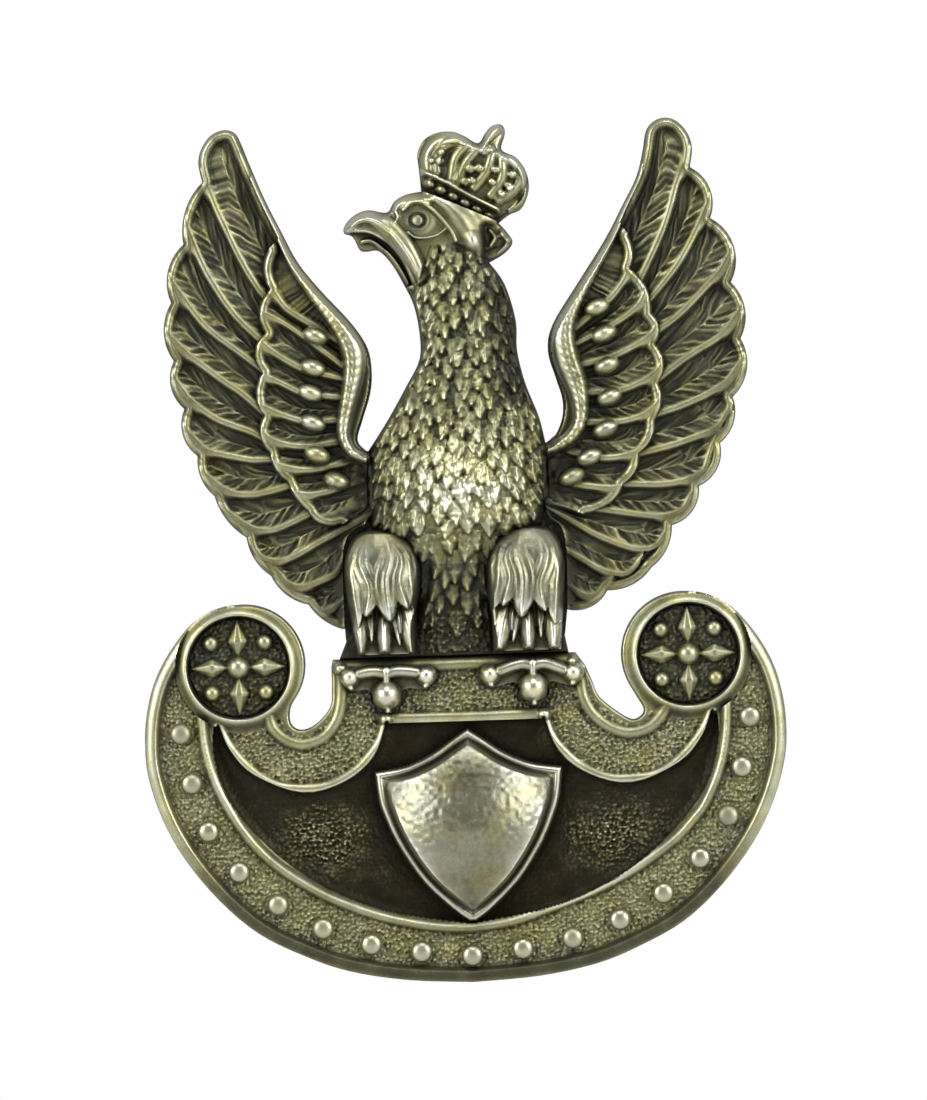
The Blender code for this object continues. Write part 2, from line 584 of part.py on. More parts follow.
def build_talons():
    """Feet: a middle toe and two outer toes over the top bar, each ending in a bead."""
    feet = {
        "left": ((-4.65, -4.95, 0.78), (-6.8, -3.85, 0.5), (-2.25, -3.85, 0.5)),
        "right": ((4.15, -4.75, 0.8), (1.6, -3.9, 0.55), (6.55, -3.95, 0.5)),
    }
    base = PLATE + SEAM
    foot_edge, bead_rise = 0.15, 1.1
    bridge_z, bridge_half, bridge_rise = -3.7, 1.1, 0.7
    for side, (middle, inner, outer) in feet.items():
        left, right = sorted((inner, outer))
        loop = [(left[0] - 0.55, left[1]), (left[0] - 0.2, -3.28), (middle[0], -3.02),
                (right[0] + 0.2, -3.28), (right[0] + 0.55, right[1]),
                (right[0], right[1] - 0.75), (middle[0] + 0.95, middle[1] + 0.35),
                (middle[0] + 0.65, middle[1] - 0.65), (middle[0], middle[1] - 1.05),
                (middle[0] - 0.65, middle[1] - 0.65), (middle[0] - 0.95, middle[1] + 0.35),
                (left[0], left[1] - 0.75)]

        def height(x, z, toes=(middle, inner, outer)):
            bumps = [bead_rise * dome(math.hypot(x - tx, z - tz) / (1.5 * radius))
                     for tx, tz, radius in toes]
            bridge = bridge_rise * dome((z - bridge_z) / bridge_half)
            return base + foot_edge + max(bumps + [bridge])

        add_relief(f"talons_{side}", spline(loop, 2, closed=True), base, height, 0.45,
                   colour=BRIGHT_SILVER, roughness=0.3)


def build_fixings():
    """Post on its solder disc, pins, washer and nut, all behind the back plane."""
    disc_profile = [(POST_ROOT + SEAM, SEAM), (POST_DISC_RADIUS, SEAM),
                    (POST_DISC_RADIUS, POST_DISC - 0.15),
                    (POST_DISC_RADIUS - 0.15, POST_DISC), (POST_ROOT + SEAM, POST_DISC)]
    add_turned("post_base", disc_profile, 40, ring=True, colour=STEEL, roughness=0.35)
    thread_start = POST_DISC + SEAM
    post = add_thread("screw_post", thread_start, POST_LENGTH, 0.0, POST_PITCH,
                      colour=STEEL, roughness=0.3)
    shank = add_turned("shank", [(POST_SHANK, SEAM), (POST_SHANK, 2 * POST_DISC)], THREAD_SIDES)
    combine(post, shank, "UNION")
    for side, centre in PIN_PLACES.items():
        profile = [(PIN_RADIUS, SEAM), (PIN_RADIUS, PIN_LENGTH - 0.5),
                   (PIN_RADIUS * 0.5, PIN_LENGTH)]
        add_turned(f"locating_pin_{side}", profile, 16, centre, colour=STEEL, roughness=0.35)
    washer_back = WASHER_FRONT + WASHER
    washer_profile = [(WASHER_BORE, WASHER_FRONT), (WASHER_RADIUS, WASHER_FRONT),
                      (WASHER_RADIUS, washer_back), (WASHER_BORE, washer_back)]
    add_turned("backing_washer", washer_profile, 48, ring=True, colour=STEEL, roughness=0.3)

    nut_front = washer_back + SEAM
    nut_back = nut_front + NUT_HEIGHT
    bevel, knurl_depth = 0.35, 0.2
    nut_profile = [(NUT_RADIUS - bevel, nut_front), (NUT_RADIUS, nut_front + bevel),
                   (NUT_RADIUS, nut_back - bevel), (NUT_RADIUS - bevel, nut_back)]

    def knurl(radius, side):
        return -knurl_depth if radius > NUT_RADIUS - 0.01 and side % 2 else 0.0

    nut = add_turned("round_nut", nut_profile, NUT_SIDES, wave=knurl, colour=STEEL,
                     roughness=0.3)
    tap_start = thread_start + 3 * POST_PITCH
    tap_end = thread_start + 14 * POST_PITCH
    tap = add_thread("tap", tap_start, tap_end, THREAD_CLEARANCE, 0.0)
    combine(nut, tap, "DIFFERENCE")


def main():
    for thing in list(bpy.data.objects):
        bpy.data.objects.remove(thing, do_unlink=True)
    build_plate()
    build_rosettes()
    build_studs()
    build_escutcheon()
    build_body()
    build_head()
    build_wings()
    build_legs()
    build_talons()
    build_fixings()


main()
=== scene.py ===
"""Looks of the crowned-eagle cap badge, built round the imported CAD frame.

Every front surface is a height map on one shared grid: X and Z run over the badge, heights are
millimetres of relief in front of the flat back plane y = 0. Each piece cuts its own outline out
of the grid and becomes a closed mesh. Outlines and paths are (x, z) points in millimetres.
"""
import copy
import math

import bpy
import numpy as np
from mathutils import Matrix


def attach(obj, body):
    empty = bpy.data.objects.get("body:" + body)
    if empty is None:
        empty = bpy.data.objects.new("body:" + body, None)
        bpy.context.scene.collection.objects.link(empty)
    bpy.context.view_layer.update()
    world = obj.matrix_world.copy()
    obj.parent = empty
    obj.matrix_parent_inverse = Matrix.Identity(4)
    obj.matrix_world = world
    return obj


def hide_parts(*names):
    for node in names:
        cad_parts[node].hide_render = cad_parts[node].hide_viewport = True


MM = 0.001
STEP = 0.055                # spacing of the shared grid
GRID_X = -20.4
GRID_Z = -23.2
COLUMNS = 743
ROWS = 970

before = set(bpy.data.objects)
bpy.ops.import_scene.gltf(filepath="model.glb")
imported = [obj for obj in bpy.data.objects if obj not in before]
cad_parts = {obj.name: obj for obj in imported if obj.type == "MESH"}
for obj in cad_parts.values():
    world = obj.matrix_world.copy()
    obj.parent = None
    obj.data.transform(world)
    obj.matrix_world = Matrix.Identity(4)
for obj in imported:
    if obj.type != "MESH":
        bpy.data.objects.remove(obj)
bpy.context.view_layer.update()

# --------------------------------------------------------------------------------------------
# Outlines, as in the CAD.

PLATE_OUTER = [(0, -22.4), (4.0, -22.15), (7.5, -21.5), (10.15, -20.5), (12.8, -19.1),
               (15.1, -17.05), (17.1, -14.5), (18.4, -12.0), (19.15, -9.5), (19.3, -7.5),
               (19.1, -5.5), (18.5, -3.5), (17.3, -1.5), (15.8, 0.0), (13.55, 0.72)]
NOTCH_RIGHT = [(10.0, -4.9), (10.4, -5.6), (10.78, -6.4), (10.2, -6.9), (9.4, -6.55),
               (8.14, -5.5), (7.7, -4.5), (7.3, -3.5)]
NOTCH_LEFT = [(-7.95, -3.2), (-7.95, -4.4), (-8.1, -5.6), (-9.0, -6.6), (-9.9, -6.92),
              (-10.5, -6.5), (-10.5, -5.6), (-10.1, -4.9)]
BAR_TOP = -2.76
BAR_CORNERS = (-7.85, 6.75)
ROUNDEL = (13.52, -3.05)
ROUNDEL_TOP = (13.55, 0.72)
ROUNDEL_SIDE = 9.52
FIELD_RIM = [(15.1, -6.5), (15.2, -8.0), (14.6, -10.5), (12.9, -13.0), (9.7, -15.8),
             (5.4, -17.85), (0, -18.85)]
FIELD_SCROLL = [(14.85, -6.5), (14.2, -8.1), (12.8, -9.6), (9.9, -10.75), (7.3, -10.15),
                (5.5, -8.7), (4.7, -6.65)]
ESCUTCHEON_TOP = [(0, -7.1), (1.0, -7.75), (2.0, -8.45), (3.0, -8.95), (4.0, -9.3),
                  (5.65, -9.55)]
ESCUTCHEON_SIDE = [(5.65, -9.55), (5.5, -11.0), (5.25, -12.0), (4.4, -14.0), (2.9, -16.3),
                   (1.15, -18.0), (0.2, -18.7)]
ESCUTCHEON_X = 0.1
ROSETTE_RADIUS = 2.97
PLATE_EDGE = 0.62           # height of the side wall along a free outline

NECK_LEFT = [(-2.75, 19.45), (-2.34, 18.5), (-2.05, 17.0), (-2.05, 15.2), (-2.94, 13.5),
             (-4.12, 11.5), (-5.3, 9.75)]
NECK_RIGHT = [(5.35, 9.9), (5.0, 11.5), (4.26, 13.5), (3.82, 15.5), (3.8, 17.3),
              (3.2, 19.5), (2.3, 20.85)]
SEAM_LEFT = [(-5.3, 9.75), (-5.15, 8.0), (-5.3, 5.7), (-6.6, 4.8), (-7.05, 3.2), (-7.05, -0.9)]
SEAM_RIGHT = [(6.35, -0.15), (6.4, 3.2), (6.15, 4.8), (5.3, 5.7), (5.15, 8.0), (5.35, 9.9)]
BODY_FOOT = [(-7.0, -1.7), (-7.45, -2.76), (6.35, -2.76), (6.15, -1.7)]
CHEST_Z = (-2.6, 0.0, 2.5, 4.0, 5.1, 7.0, 9.0, 11.0, 13.0, 15.0, 17.0, 19.0, 21.0)
CHEST_CENTRE = (-0.45, -0.45, -0.4, -0.4, -0.1, 0.0, 0.1, 0.3, 0.6, 0.9, 0.85, 0.5, 0.0)
CHEST_HALF = (2.0, 2.0, 2.2, 3.4, 4.9, 5.2, 5.3, 4.8, 3.9, 3.05, 2.95, 3.1, 3.2)
CHEST_CREST = (2.1, 2.45, 2.9, 3.5, 4.0, 4.4, 4.5, 4.3, 4.0, 3.7, 3.5, 3.4, 3.3)

WING_LEFT_TIP = [(-12.05, 27.5), (-12.42, 28.5), (-12.75, 29.1), (-13.4, 29.3), (-14.2, 29.0),
                 (-14.8, 28.2), (-15.0, 27.3), (-14.8, 26.2)]
WING_LEFT_SCALLOPS = [(-14.8, 26.2), (-15.95, 24.3), (-16.05, 22.5), (-17.1, 20.6),
                      (-16.9, 19.0), (-17.4, 17.3), (-16.85, 15.5), (-17.1, 14.1),
                      (-16.3, 12.6), (-16.5, 11.3), (-15.6, 9.75), (-15.5, 8.6),
                      (-14.65, 7.3), (-14.0, 5.9), (-12.8, 4.75), (-12.35, 3.4),
                      (-11.4, 2.4), (-10.7, 1.4), (-9.2, 0.6), (-8.2, -0.45), (-7.13, -0.95)]
WING_LEFT_INNER = [(-5.4, 9.72), (-5.95, 10.4), (-5.62, 11.6), (-5.1, 13.2), (-4.97, 14.6),
                   (-5.2, 16.0), (-6.14, 17.5), (-7.9, 19.5), (-9.2, 21.2), (-10.1, 23.0),
                   (-11.1, 25.1), (-12.05, 27.5)]
WING_RIGHT_TIP = [(11.8, 27.5), (12.0, 28.5), (12.5, 29.05), (13.2, 29.22), (13.9, 28.95),
                  (14.5, 28.2), (14.72, 27.3), (14.55, 26.2)]
WING_RIGHT_SCALLOPS = [(14.55, 26.2), (15.75, 24.8), (15.68, 23.1), (17.1, 21.2), (16.8, 19.2),
                       (17.62, 17.5), (17.28, 15.8), (17.65, 14.3), (16.7, 12.3),
                       (16.8, 11.1), (15.85, 9.55), (15.8, 8.4), (14.5, 7.0), (14.25, 5.8),
                       (12.8, 4.7), (12.6, 3.6), (11.5, 2.2), (10.6, 1.35), (8.8, 0.9),
                       (7.9, 0.0), (6.45, -0.2)]
WING_RIGHT_INNER = [(5.45, 9.95), (6.0, 10.4), (6.42, 11.4), (6.46, 12.5), (6.1, 13.8),
                    (5.68, 15.4), (6.0, 17.0), (7.6, 19.45), (9.3, 22.0), (10.35, 23.9),
                    (11.35, 25.8), (11.8, 27.5)]
COVERTS_LEFT_SCALLOPS = [(-11.0, 21.9), (-11.3, 20.6), (-11.0, 19.6), (-11.65, 18.3),
                         (-11.35, 17.0), (-12.0, 15.8), (-11.6, 14.6), (-12.0, 13.4),
                         (-11.6, 12.0), (-11.85, 11.0), (-11.3, 9.8), (-11.0, 8.8),
                         (-10.3, 8.0), (-9.8, 7.0), (-9.1, 6.2), (-8.4, 5.4), (-7.1, 5.3)]
COVERTS_LEFT_INNER = [(-5.5, 6.3), (-5.4, 9.4), (-5.6, 9.85), (-6.05, 10.45), (-5.74, 11.6),
                      (-5.24, 13.2), (-5.1, 14.6), (-5.34, 16.0), (-6.26, 17.6), (-8.0, 19.6),
                      (-9.3, 21.3), (-10.2, 22.7)]
COVERTS_RIGHT_SCALLOPS = [(10.75, 22.1), (11.0, 20.9), (10.8, 20.2), (11.8, 18.9),
                          (12.0, 17.5), (12.45, 16.6), (12.2, 15.6), (12.65, 14.3),
                          (12.3, 13.2), (12.45, 12.2), (12.0, 11.0), (11.85, 10.1),
                          (11.0, 9.0), (10.85, 8.2), (10.0, 7.2), (9.4, 6.3), (7.6, 5.5)]
COVERTS_RIGHT_INNER = [(5.5, 6.3), (5.45, 9.4), (5.6, 10.05), (6.12, 10.5), (6.54, 11.4),
                       (6.6, 12.5), (6.24, 13.8), (5.82, 15.4), (6.14, 17.0), (7.72, 19.45),
                       (9.4, 22.0), (10.1, 23.1)]

HEAD_LOOP = [(-1.65, 25.22), (-2.6, 25.05), (-3.3, 24.65), (-3.75, 24.02), (-4.85, 24.2),
             (-5.65, 23.95), (-6.25, 23.4), (-6.38, 22.9), (-5.85, 22.65), (-5.45, 21.85),
             (-5.0, 21.75), (-4.3, 21.75), (-3.5, 20.85), (-2.75, 19.45)]
HEAD_NAPE = [(2.3, 20.85), (3.2, 21.35), (3.75, 22.0), (3.4, 22.65), (2.93, 23.2)]
CROWN_LOOP = [(-1.65, 25.22), (-1.75, 26.6), (-1.8, 27.5), (-1.4, 28.3), (-0.6, 28.72),
              (0.3, 28.76), (1.0, 28.5), (1.85, 28.02), (2.3, 28.6), (2.75, 29.05),
              (3.3, 29.08), (3.5, 28.6), (3.25, 27.6), (4.1, 27.1), (4.7, 26.2),
              (4.82, 25.1), (4.35, 24.05), (3.6, 23.7), (2.93, 23.2)]
LEG_LEFT_LOOP = [(-2.9, -2.55), (-2.8, -0.3), (-2.4, 1.4), (-2.4, 3.1), (-3.2, 4.6),
                 (-4.7, 5.02), (-6.2, 4.65), (-6.95, 3.2), (-6.95, 1.4), (-6.65, -0.6),
                 (-6.3, -2.55)]
LEG_RIGHT_LOOP = [(1.85, -2.55), (1.75, -0.6), (1.5, 1.2), (1.6, 3.2), (2.3, 4.6),
                  (3.95, 5.05), (5.6, 4.6), (6.25, 3.0), (6.25, 1.4), (6.1, -0.3),
                  (5.9, -2.55)]
TAIL_LOOP = [(-2.2, 2.8), (-2.2, 1.2), (-2.6, -0.4), (-2.7, -2.55), (1.65, -2.55),
             (1.55, -0.5), (1.3, 1.2), (1.35, 2.8)]

# --------------------------------------------------------------------------------------------
# Lines on the relief.

INNER_RIDGE_LEFT = [(-15.75, -6.6), (-15.6, -8), (-15.05, -10), (-14.05, -12), (-13.4, -13),
                    (-12.6, -14), (-11.55, -15), (-10.15, -16), (-8.45, -17), (-6.05, -18),
                    (-3.9, -18.6), (-1.85, -18.95), (0.0, -19.05)]
INNER_RIDGE_RIGHT = [(15.7, -6.6), (15.6, -8), (15.15, -10), (14.25, -12), (13.45, -13),
                     (12.5, -14), (11.15, -15), (9.55, -16), (7.45, -17), (4.75, -18),
                     (2.4, -18.75), (0.0, -19.05)]
SCROLL_RIDGE = [(4.75, -6.4), (5.0, -7.5), (5.6, -8.4), (6.7, -9.5), (8.3, -10.3),
                (9.8, -10.45), (11.5, -10.2), (13.0, -9.2), (14.2, -7.8), (14.8, -6.6)]
NOTCH_RIDGE_LEFT = [(-11.75, -6.1), (-11.5, -6.8), (-10.8, -7.45), (-9.8, -7.75),
                    (-8.6, -7.4), (-7.8, -6.5), (-7.45, -5.5), (-7.35, -4.3), (-7.4, -3.3)]
NOTCH_RIDGE_RIGHT = [(12.1, -6.2), (11.6, -6.9), (10.9, -7.45), (9.8, -7.65), (8.7, -7.3),
                     (7.7, -6.5), (7.15, -5.5), (6.95, -4.3), (6.6, -3.3)]

FEATHERS_LEFT = [
    [(-14.45, 25.6), (-14.05, 24.4), (-13.35, 22.8), (-12.55, 21.1), (-11.75, 19.7),
     (-11.3, 19.1)],
    [(-15.7, 22.9), (-15.25, 21.7), (-14.65, 20.4), (-13.75, 18.9), (-12.85, 17.7),
     (-11.85, 16.7)],
    [(-16.45, 19.5), (-15.25, 17.8), (-14.35, 16.9), (-13.05, 15.9), (-12.05, 15.1)],
    [(-16.65, 16.4), (-15.85, 15.6), (-14.95, 14.9), (-13.95, 14.1), (-12.95, 13.4),
     (-11.95, 12.5)],
    [(-16.55, 13.8), (-16.05, 13.1), (-15.25, 12.4), (-14.35, 11.8), (-13.45, 11.4),
     (-12.35, 11.0), (-11.65, 10.6)],
    [(-15.65, 10.5), (-15.15, 10.0), (-14.45, 9.75), (-13.35, 9.5), (-12.35, 9.3),
     (-11.55, 9.3)],
    [(-14.85, 8.2), (-14.25, 7.7), (-13.45, 7.3), (-12.35, 7.2), (-11.35, 7.35),
     (-10.75, 7.5)],
    [(-13.75, 6.1), (-12.85, 5.4), (-12.05, 5.05), (-11.15, 5.05), (-10.15, 5.4),
     (-9.45, 5.7)],
    [(-12.45, 4.1), (-12.05, 3.5), (-11.35, 3.2), (-10.55, 3.2), (-9.55, 3.6),
     (-8.65, 4.1), (-7.85, 4.5)],
    [(-10.95, 2.5), (-10.55, 1.9), (-9.95, 1.6), (-9.25, 1.6), (-8.35, 1.9),
     (-7.45, 2.3), (-7.15, 2.7)],
    [(-8.95, 0.4), (-8.45, 0.1), (-7.85, 0.2), (-7.15, 0.6), (-6.75, 1.0)],
]
FEATHERS_RIGHT = [
    [(14.1, 26.0), (13.75, 25.0), (13.45, 24.0), (12.95, 22.6), (12.3, 21.2), (11.85, 20.3)],
    [(15.35, 23.2), (15.0, 22.5), (14.4, 21.4), (13.7, 20.3), (12.9, 19.3), (12.1, 18.4)],
    [(16.65, 20.4), (16.2, 19.7), (15.4, 18.9), (14.5, 18.0), (13.5, 17.1), (12.5, 16.4)],
    [(17.1, 17.0), (16.5, 16.2), (15.7, 15.6), (14.8, 15.1), (13.8, 14.5), (12.7, 13.7)],
    [(17.05, 13.9), (16.4, 13.1), (15.6, 12.6), (14.8, 12.2), (13.5, 11.7), (12.3, 11.35)],
    [(16.4, 11.3), (15.9, 10.5), (15.2, 10.1), (14.3, 9.8), (13.0, 9.4), (11.9, 9.15)],
    [(15.3, 8.9), (15.0, 8.0), (14.4, 7.5), (13.5, 7.2), (12.2, 7.05), (10.9, 7.1)],
    [(14.0, 6.3), (13.6, 5.6), (12.9, 5.25), (12.0, 5.15), (10.8, 5.3), (9.3, 5.55)],
    [(12.4, 4.1), (12.0, 3.5), (11.4, 3.2), (10.5, 3.25), (9.3, 3.65), (8.1, 4.2),
     (7.6, 4.5)],
    [(10.9, 2.8), (10.6, 2.2), (10.0, 1.75), (9.3, 1.75), (8.3, 2.1), (7.2, 2.8),
     (6.5, 3.2)],
    [(8.6, 1.1), (8.2, 0.6), (7.6, 0.5), (7.0, 0.75), (6.4, 1.1)],
]
COVERT_LINES_LEFT = [
    [(-11.1, 20.0), (-10.8, 19.6), (-10.25, 18.6), (-9.75, 18.1), (-9.0, 17.6)],
    [(-11.4, 18.0), (-11.15, 18.0), (-10.05, 17.4), (-8.85, 16.5), (-7.85, 15.7)],
    [(-11.8, 16.6), (-11.1, 15.9), (-10.1, 15.2), (-9.0, 14.6), (-7.9, 14.3)],
    [(-11.8, 14.6), (-11.35, 14.3), (-10.35, 13.8), (-9.15, 13.2), (-7.9, 13.0)],
    [(-11.8, 12.6), (-11.45, 12.4), (-10.35, 11.9), (-9.05, 11.5), (-7.6, 11.5)],
    [(-11.5, 10.8), (-11.15, 10.5), (-10.05, 10.1), (-8.75, 10.0), (-7.2, 10.2)],
    [(-11.0, 9.1), (-10.75, 8.95), (-9.35, 8.6), (-8.15, 8.65), (-6.6, 9.0)],
    [(-10.4, 7.6), (-10.15, 7.4), (-9.05, 7.1), (-7.75, 7.25), (-6.4, 7.7)],
    [(-9.3, 6.3), (-8.95, 6.0), (-8.25, 5.7), (-7.15, 5.9), (-5.9, 6.4)],
]
COVERT_LINES_RIGHT = [
    [(10.95, 21.3), (10.75, 20.3), (10.35, 19.3), (9.65, 18.4), (8.8, 17.7)],
    [(11.8, 18.9), (11.35, 18.0), (10.55, 17.3), (9.55, 16.7), (8.5, 16.2)],
    [(12.35, 16.7), (11.95, 16.1), (11.05, 15.5), (9.75, 14.9), (8.6, 14.6)],
    [(12.6, 14.5), (12.35, 14.0), (11.55, 13.4), (10.55, 12.95), (9.65, 12.75), (8.4, 12.7)],
    [(12.5, 12.6), (12.15, 11.9), (11.35, 11.3), (10.45, 11.0), (9.75, 10.9), (8.3, 10.9)],
    [(12.1, 10.4), (11.55, 9.5), (10.65, 9.0), (9.45, 8.75), (8.35, 8.8), (6.8, 9.2)],
    [(11.0, 8.4), (10.35, 7.3), (9.45, 6.95), (8.45, 7.0), (7.15, 7.2), (6.0, 7.6)],
    [(9.6, 6.6), (9.05, 5.7), (8.35, 5.35), (7.45, 5.5), (6.75, 5.8), (5.8, 6.2)],
]
# Leading edge of each wing: x, z and half width of the rounded ridge.
EDGE_LEFT = [(-11.75, 26.3, 0.2), (-11.3, 25.2, 0.2), (-10.3, 22.95, 0.22),
             (-9.45, 21.0, 0.28), (-8.35, 19.4, 0.42), (-7.0, 17.6, 0.6), (-6.1, 16.0, 0.72),
             (-6.0, 14.6, 0.7), (-6.32, 13.0, 0.58), (-6.65, 11.6, 0.5), (-6.72, 10.6, 0.42),
             (-6.35, 9.75, 0.36), (-5.75, 9.35, 0.33), (-5.0, 9.15, 0.3)]
EDGE_RIGHT = [(11.5, 26.4, 0.2), (11.3, 25.5, 0.2), (10.5, 23.9, 0.22), (9.6, 22.0, 0.28),
              (8.6, 20.4, 0.38), (7.65, 18.9, 0.5), (6.85, 17.4, 0.65), (6.6, 16.1, 0.75),
              (6.8, 14.8, 0.8), (7.2, 13.6, 0.75), (7.45, 12.4, 0.6), (7.45, 11.3, 0.5),
              (7.1, 10.5, 0.45), (6.35, 9.85, 0.4), (5.2, 9.4, 0.36)]
KNOBS_LEFT = [(-8.25, 16.7), (-8.45, 14.8), (-8.65, 13.3), (-8.55, 11.5), (-8.35, 9.6),
              (-7.25, 8.0)]
KNOBS_RIGHT = [(8.65, 17.9), (9.05, 16.3), (9.15, 14.4), (9.25, 12.5), (8.95, 10.6),
               (7.95, 8.95), (6.85, 7.8)]


# --------------------------------------------------------------------------------------------
# Plane curves.

def spline(points, steps=4, closed=False):
    """Points of a smooth curve through the given points, which may carry extra values."""
    count = len(points)
    spans = count if closed else count - 1
    result = []
    for span in range(spans):
        if closed:
            corners = [points[(span + shift) % count] for shift in (-1, 0, 1, 2)]
        else:
            corners = [points[min(max(span + shift, 0), count - 1)] for shift in (-1, 0, 1, 2)]
        p0, p1, p2, p3 = (np.array(corner, float) for corner in corners)
        for step in range(steps):
            t = step / steps
            curve = 2 * p1 + (p2 - p0) * t + (2 * p0 - 5 * p1 + 4 * p2 - p3) * t ** 2
            curve = curve + (3 * p1 - p0 - 3 * p2 + p3) * t ** 3
            result.append(tuple(curve / 2))
    if not closed:
        result.append(tuple(map(float, points[-1])))
    return result


def arc(start, middle, end, steps=10):
    """Points of the circular arc through three points."""
    ax, az = start
    bx, bz = middle
    cx, cz = end
    twice_area = 2 * (ax * (bz - cz) + bx * (cz - az) + cx * (az - bz))
    squares = [ax ** 2 + az ** 2, bx ** 2 + bz ** 2, cx ** 2 + cz ** 2]
    ox = (squares[0] * (bz - cz) + squares[1] * (cz - az) + squares[2] * (az - bz)) / twice_area
    oz = (squares[0] * (cx - bx) + squares[1] * (ax - cx) + squares[2] * (bx - ax)) / twice_area
    radius = math.hypot(ax - ox, az - oz)
    first = math.atan2(az - oz, ax - ox)
    turn = (math.atan2(cz - oz, cx - ox) - first) % math.tau
    half = (math.atan2(bz - oz, bx - ox) - first) % math.tau
    if half > turn:
        turn -= math.tau
    angles = [first + turn * step / steps for step in range(steps + 1)]
    return [(ox + radius * math.cos(a), oz + radius * math.sin(a)) for a in angles]


def scallops(points):
    """Arcs from notch to notch, each through the crown point between them."""
    result = []
    for index in range(0, len(points) - 2, 2):
        result += arc(points[index], points[index + 1], points[index + 2])
    return result


def outline(*runs):
    """One closed loop from runs of points, without the points that two runs share."""
    loop = []
    for point in (point for run in runs for point in run):
        if not loop or math.dist(point, loop[-1]) > 0.02:
            loop.append(point)
    if math.dist(loop[0], loop[-1]) < 0.02:
        loop.pop()
    return loop


def mirrored(points):
    return [(-x, z) for x, z in reversed(points)]


def ring(centre, radius, sides=120):
    angles = [math.tau * side / sides for side in range(sides)]
    return [(centre[0] + radius * math.cos(a), centre[1] + radius * math.sin(a)) for a in angles]


def travel(flat):
    """Length travelled along a path at each of its points."""
    return np.concatenate([[0.0], np.cumsum(np.hypot(*np.diff(flat[:, :2], axis=0).T))])


def extended(points, length=4.0):
    """The path with a straight length added at both ends."""
    points = [np.array(point[:2], float) for point in points]
    head = points[0] - points[1]
    tail = points[-1] - points[-2]
    return ([points[0] + head / np.linalg.norm(head) * length] + points
            + [points[-1] + tail / np.linalg.norm(tail) * length])


def smooth(t):
    """Step from 0 to 1 with soft ends."""
    t = np.clip(t, 0.0, 1.0)
    return t * t * (3 - 2 * t)


def bell(t):
    """Hump of height 1 at 0 that ends softly at -1 and 1."""
    return np.clip(1 - t * t, 0.0, 1.0) ** 2


def round_over(t, power=0.6):
    """Hump of height 1 at 0 that ends steeply at -1 and 1."""
    return np.clip(1 - t * t, 0.0, 1.0) ** power


def value_noise(x, z, size, seed):
    """Smooth random values from -1 to 1 over the plane, with features of the given size."""
    table = np.random.default_rng(seed).uniform(-1, 1, (64, 64))
    u, v = x / size, z / size
    iu, iv = np.floor(u).astype(int), np.floor(v).astype(int)
    fu, fv = smooth(u - iu), smooth(v - iv)
    a, b = table[iv % 64, iu % 64], table[iv % 64, (iu + 1) % 64]
    c, d = table[(iv + 1) % 64, iu % 64], table[(iv + 1) % 64, (iu + 1) % 64]
    return (a * (1 - fu) + b * fu) * (1 - fv) + (c * (1 - fu) + d * fu) * fv


# --------------------------------------------------------------------------------------------
# Relief sheets.

def inside_loop(loop, x, z):
    """Even-odd test of grid points against a closed outline."""
    result = np.zeros(x.shape, bool)
    rows = z[:, 0]
    for (x0, z0), (x1, z1) in zip(loop, np.roll(loop, -1, axis=0)):
        if z0 == z1:
            continue
        crossed = np.nonzero((rows > min(z0, z1)) & (rows <= max(z0, z1)))[0]
        cut = x0 + (rows[crossed] - z0) * (x1 - x0) / (z1 - z0)
        result[crossed] ^= x[crossed] > cut[:, None]
    return result


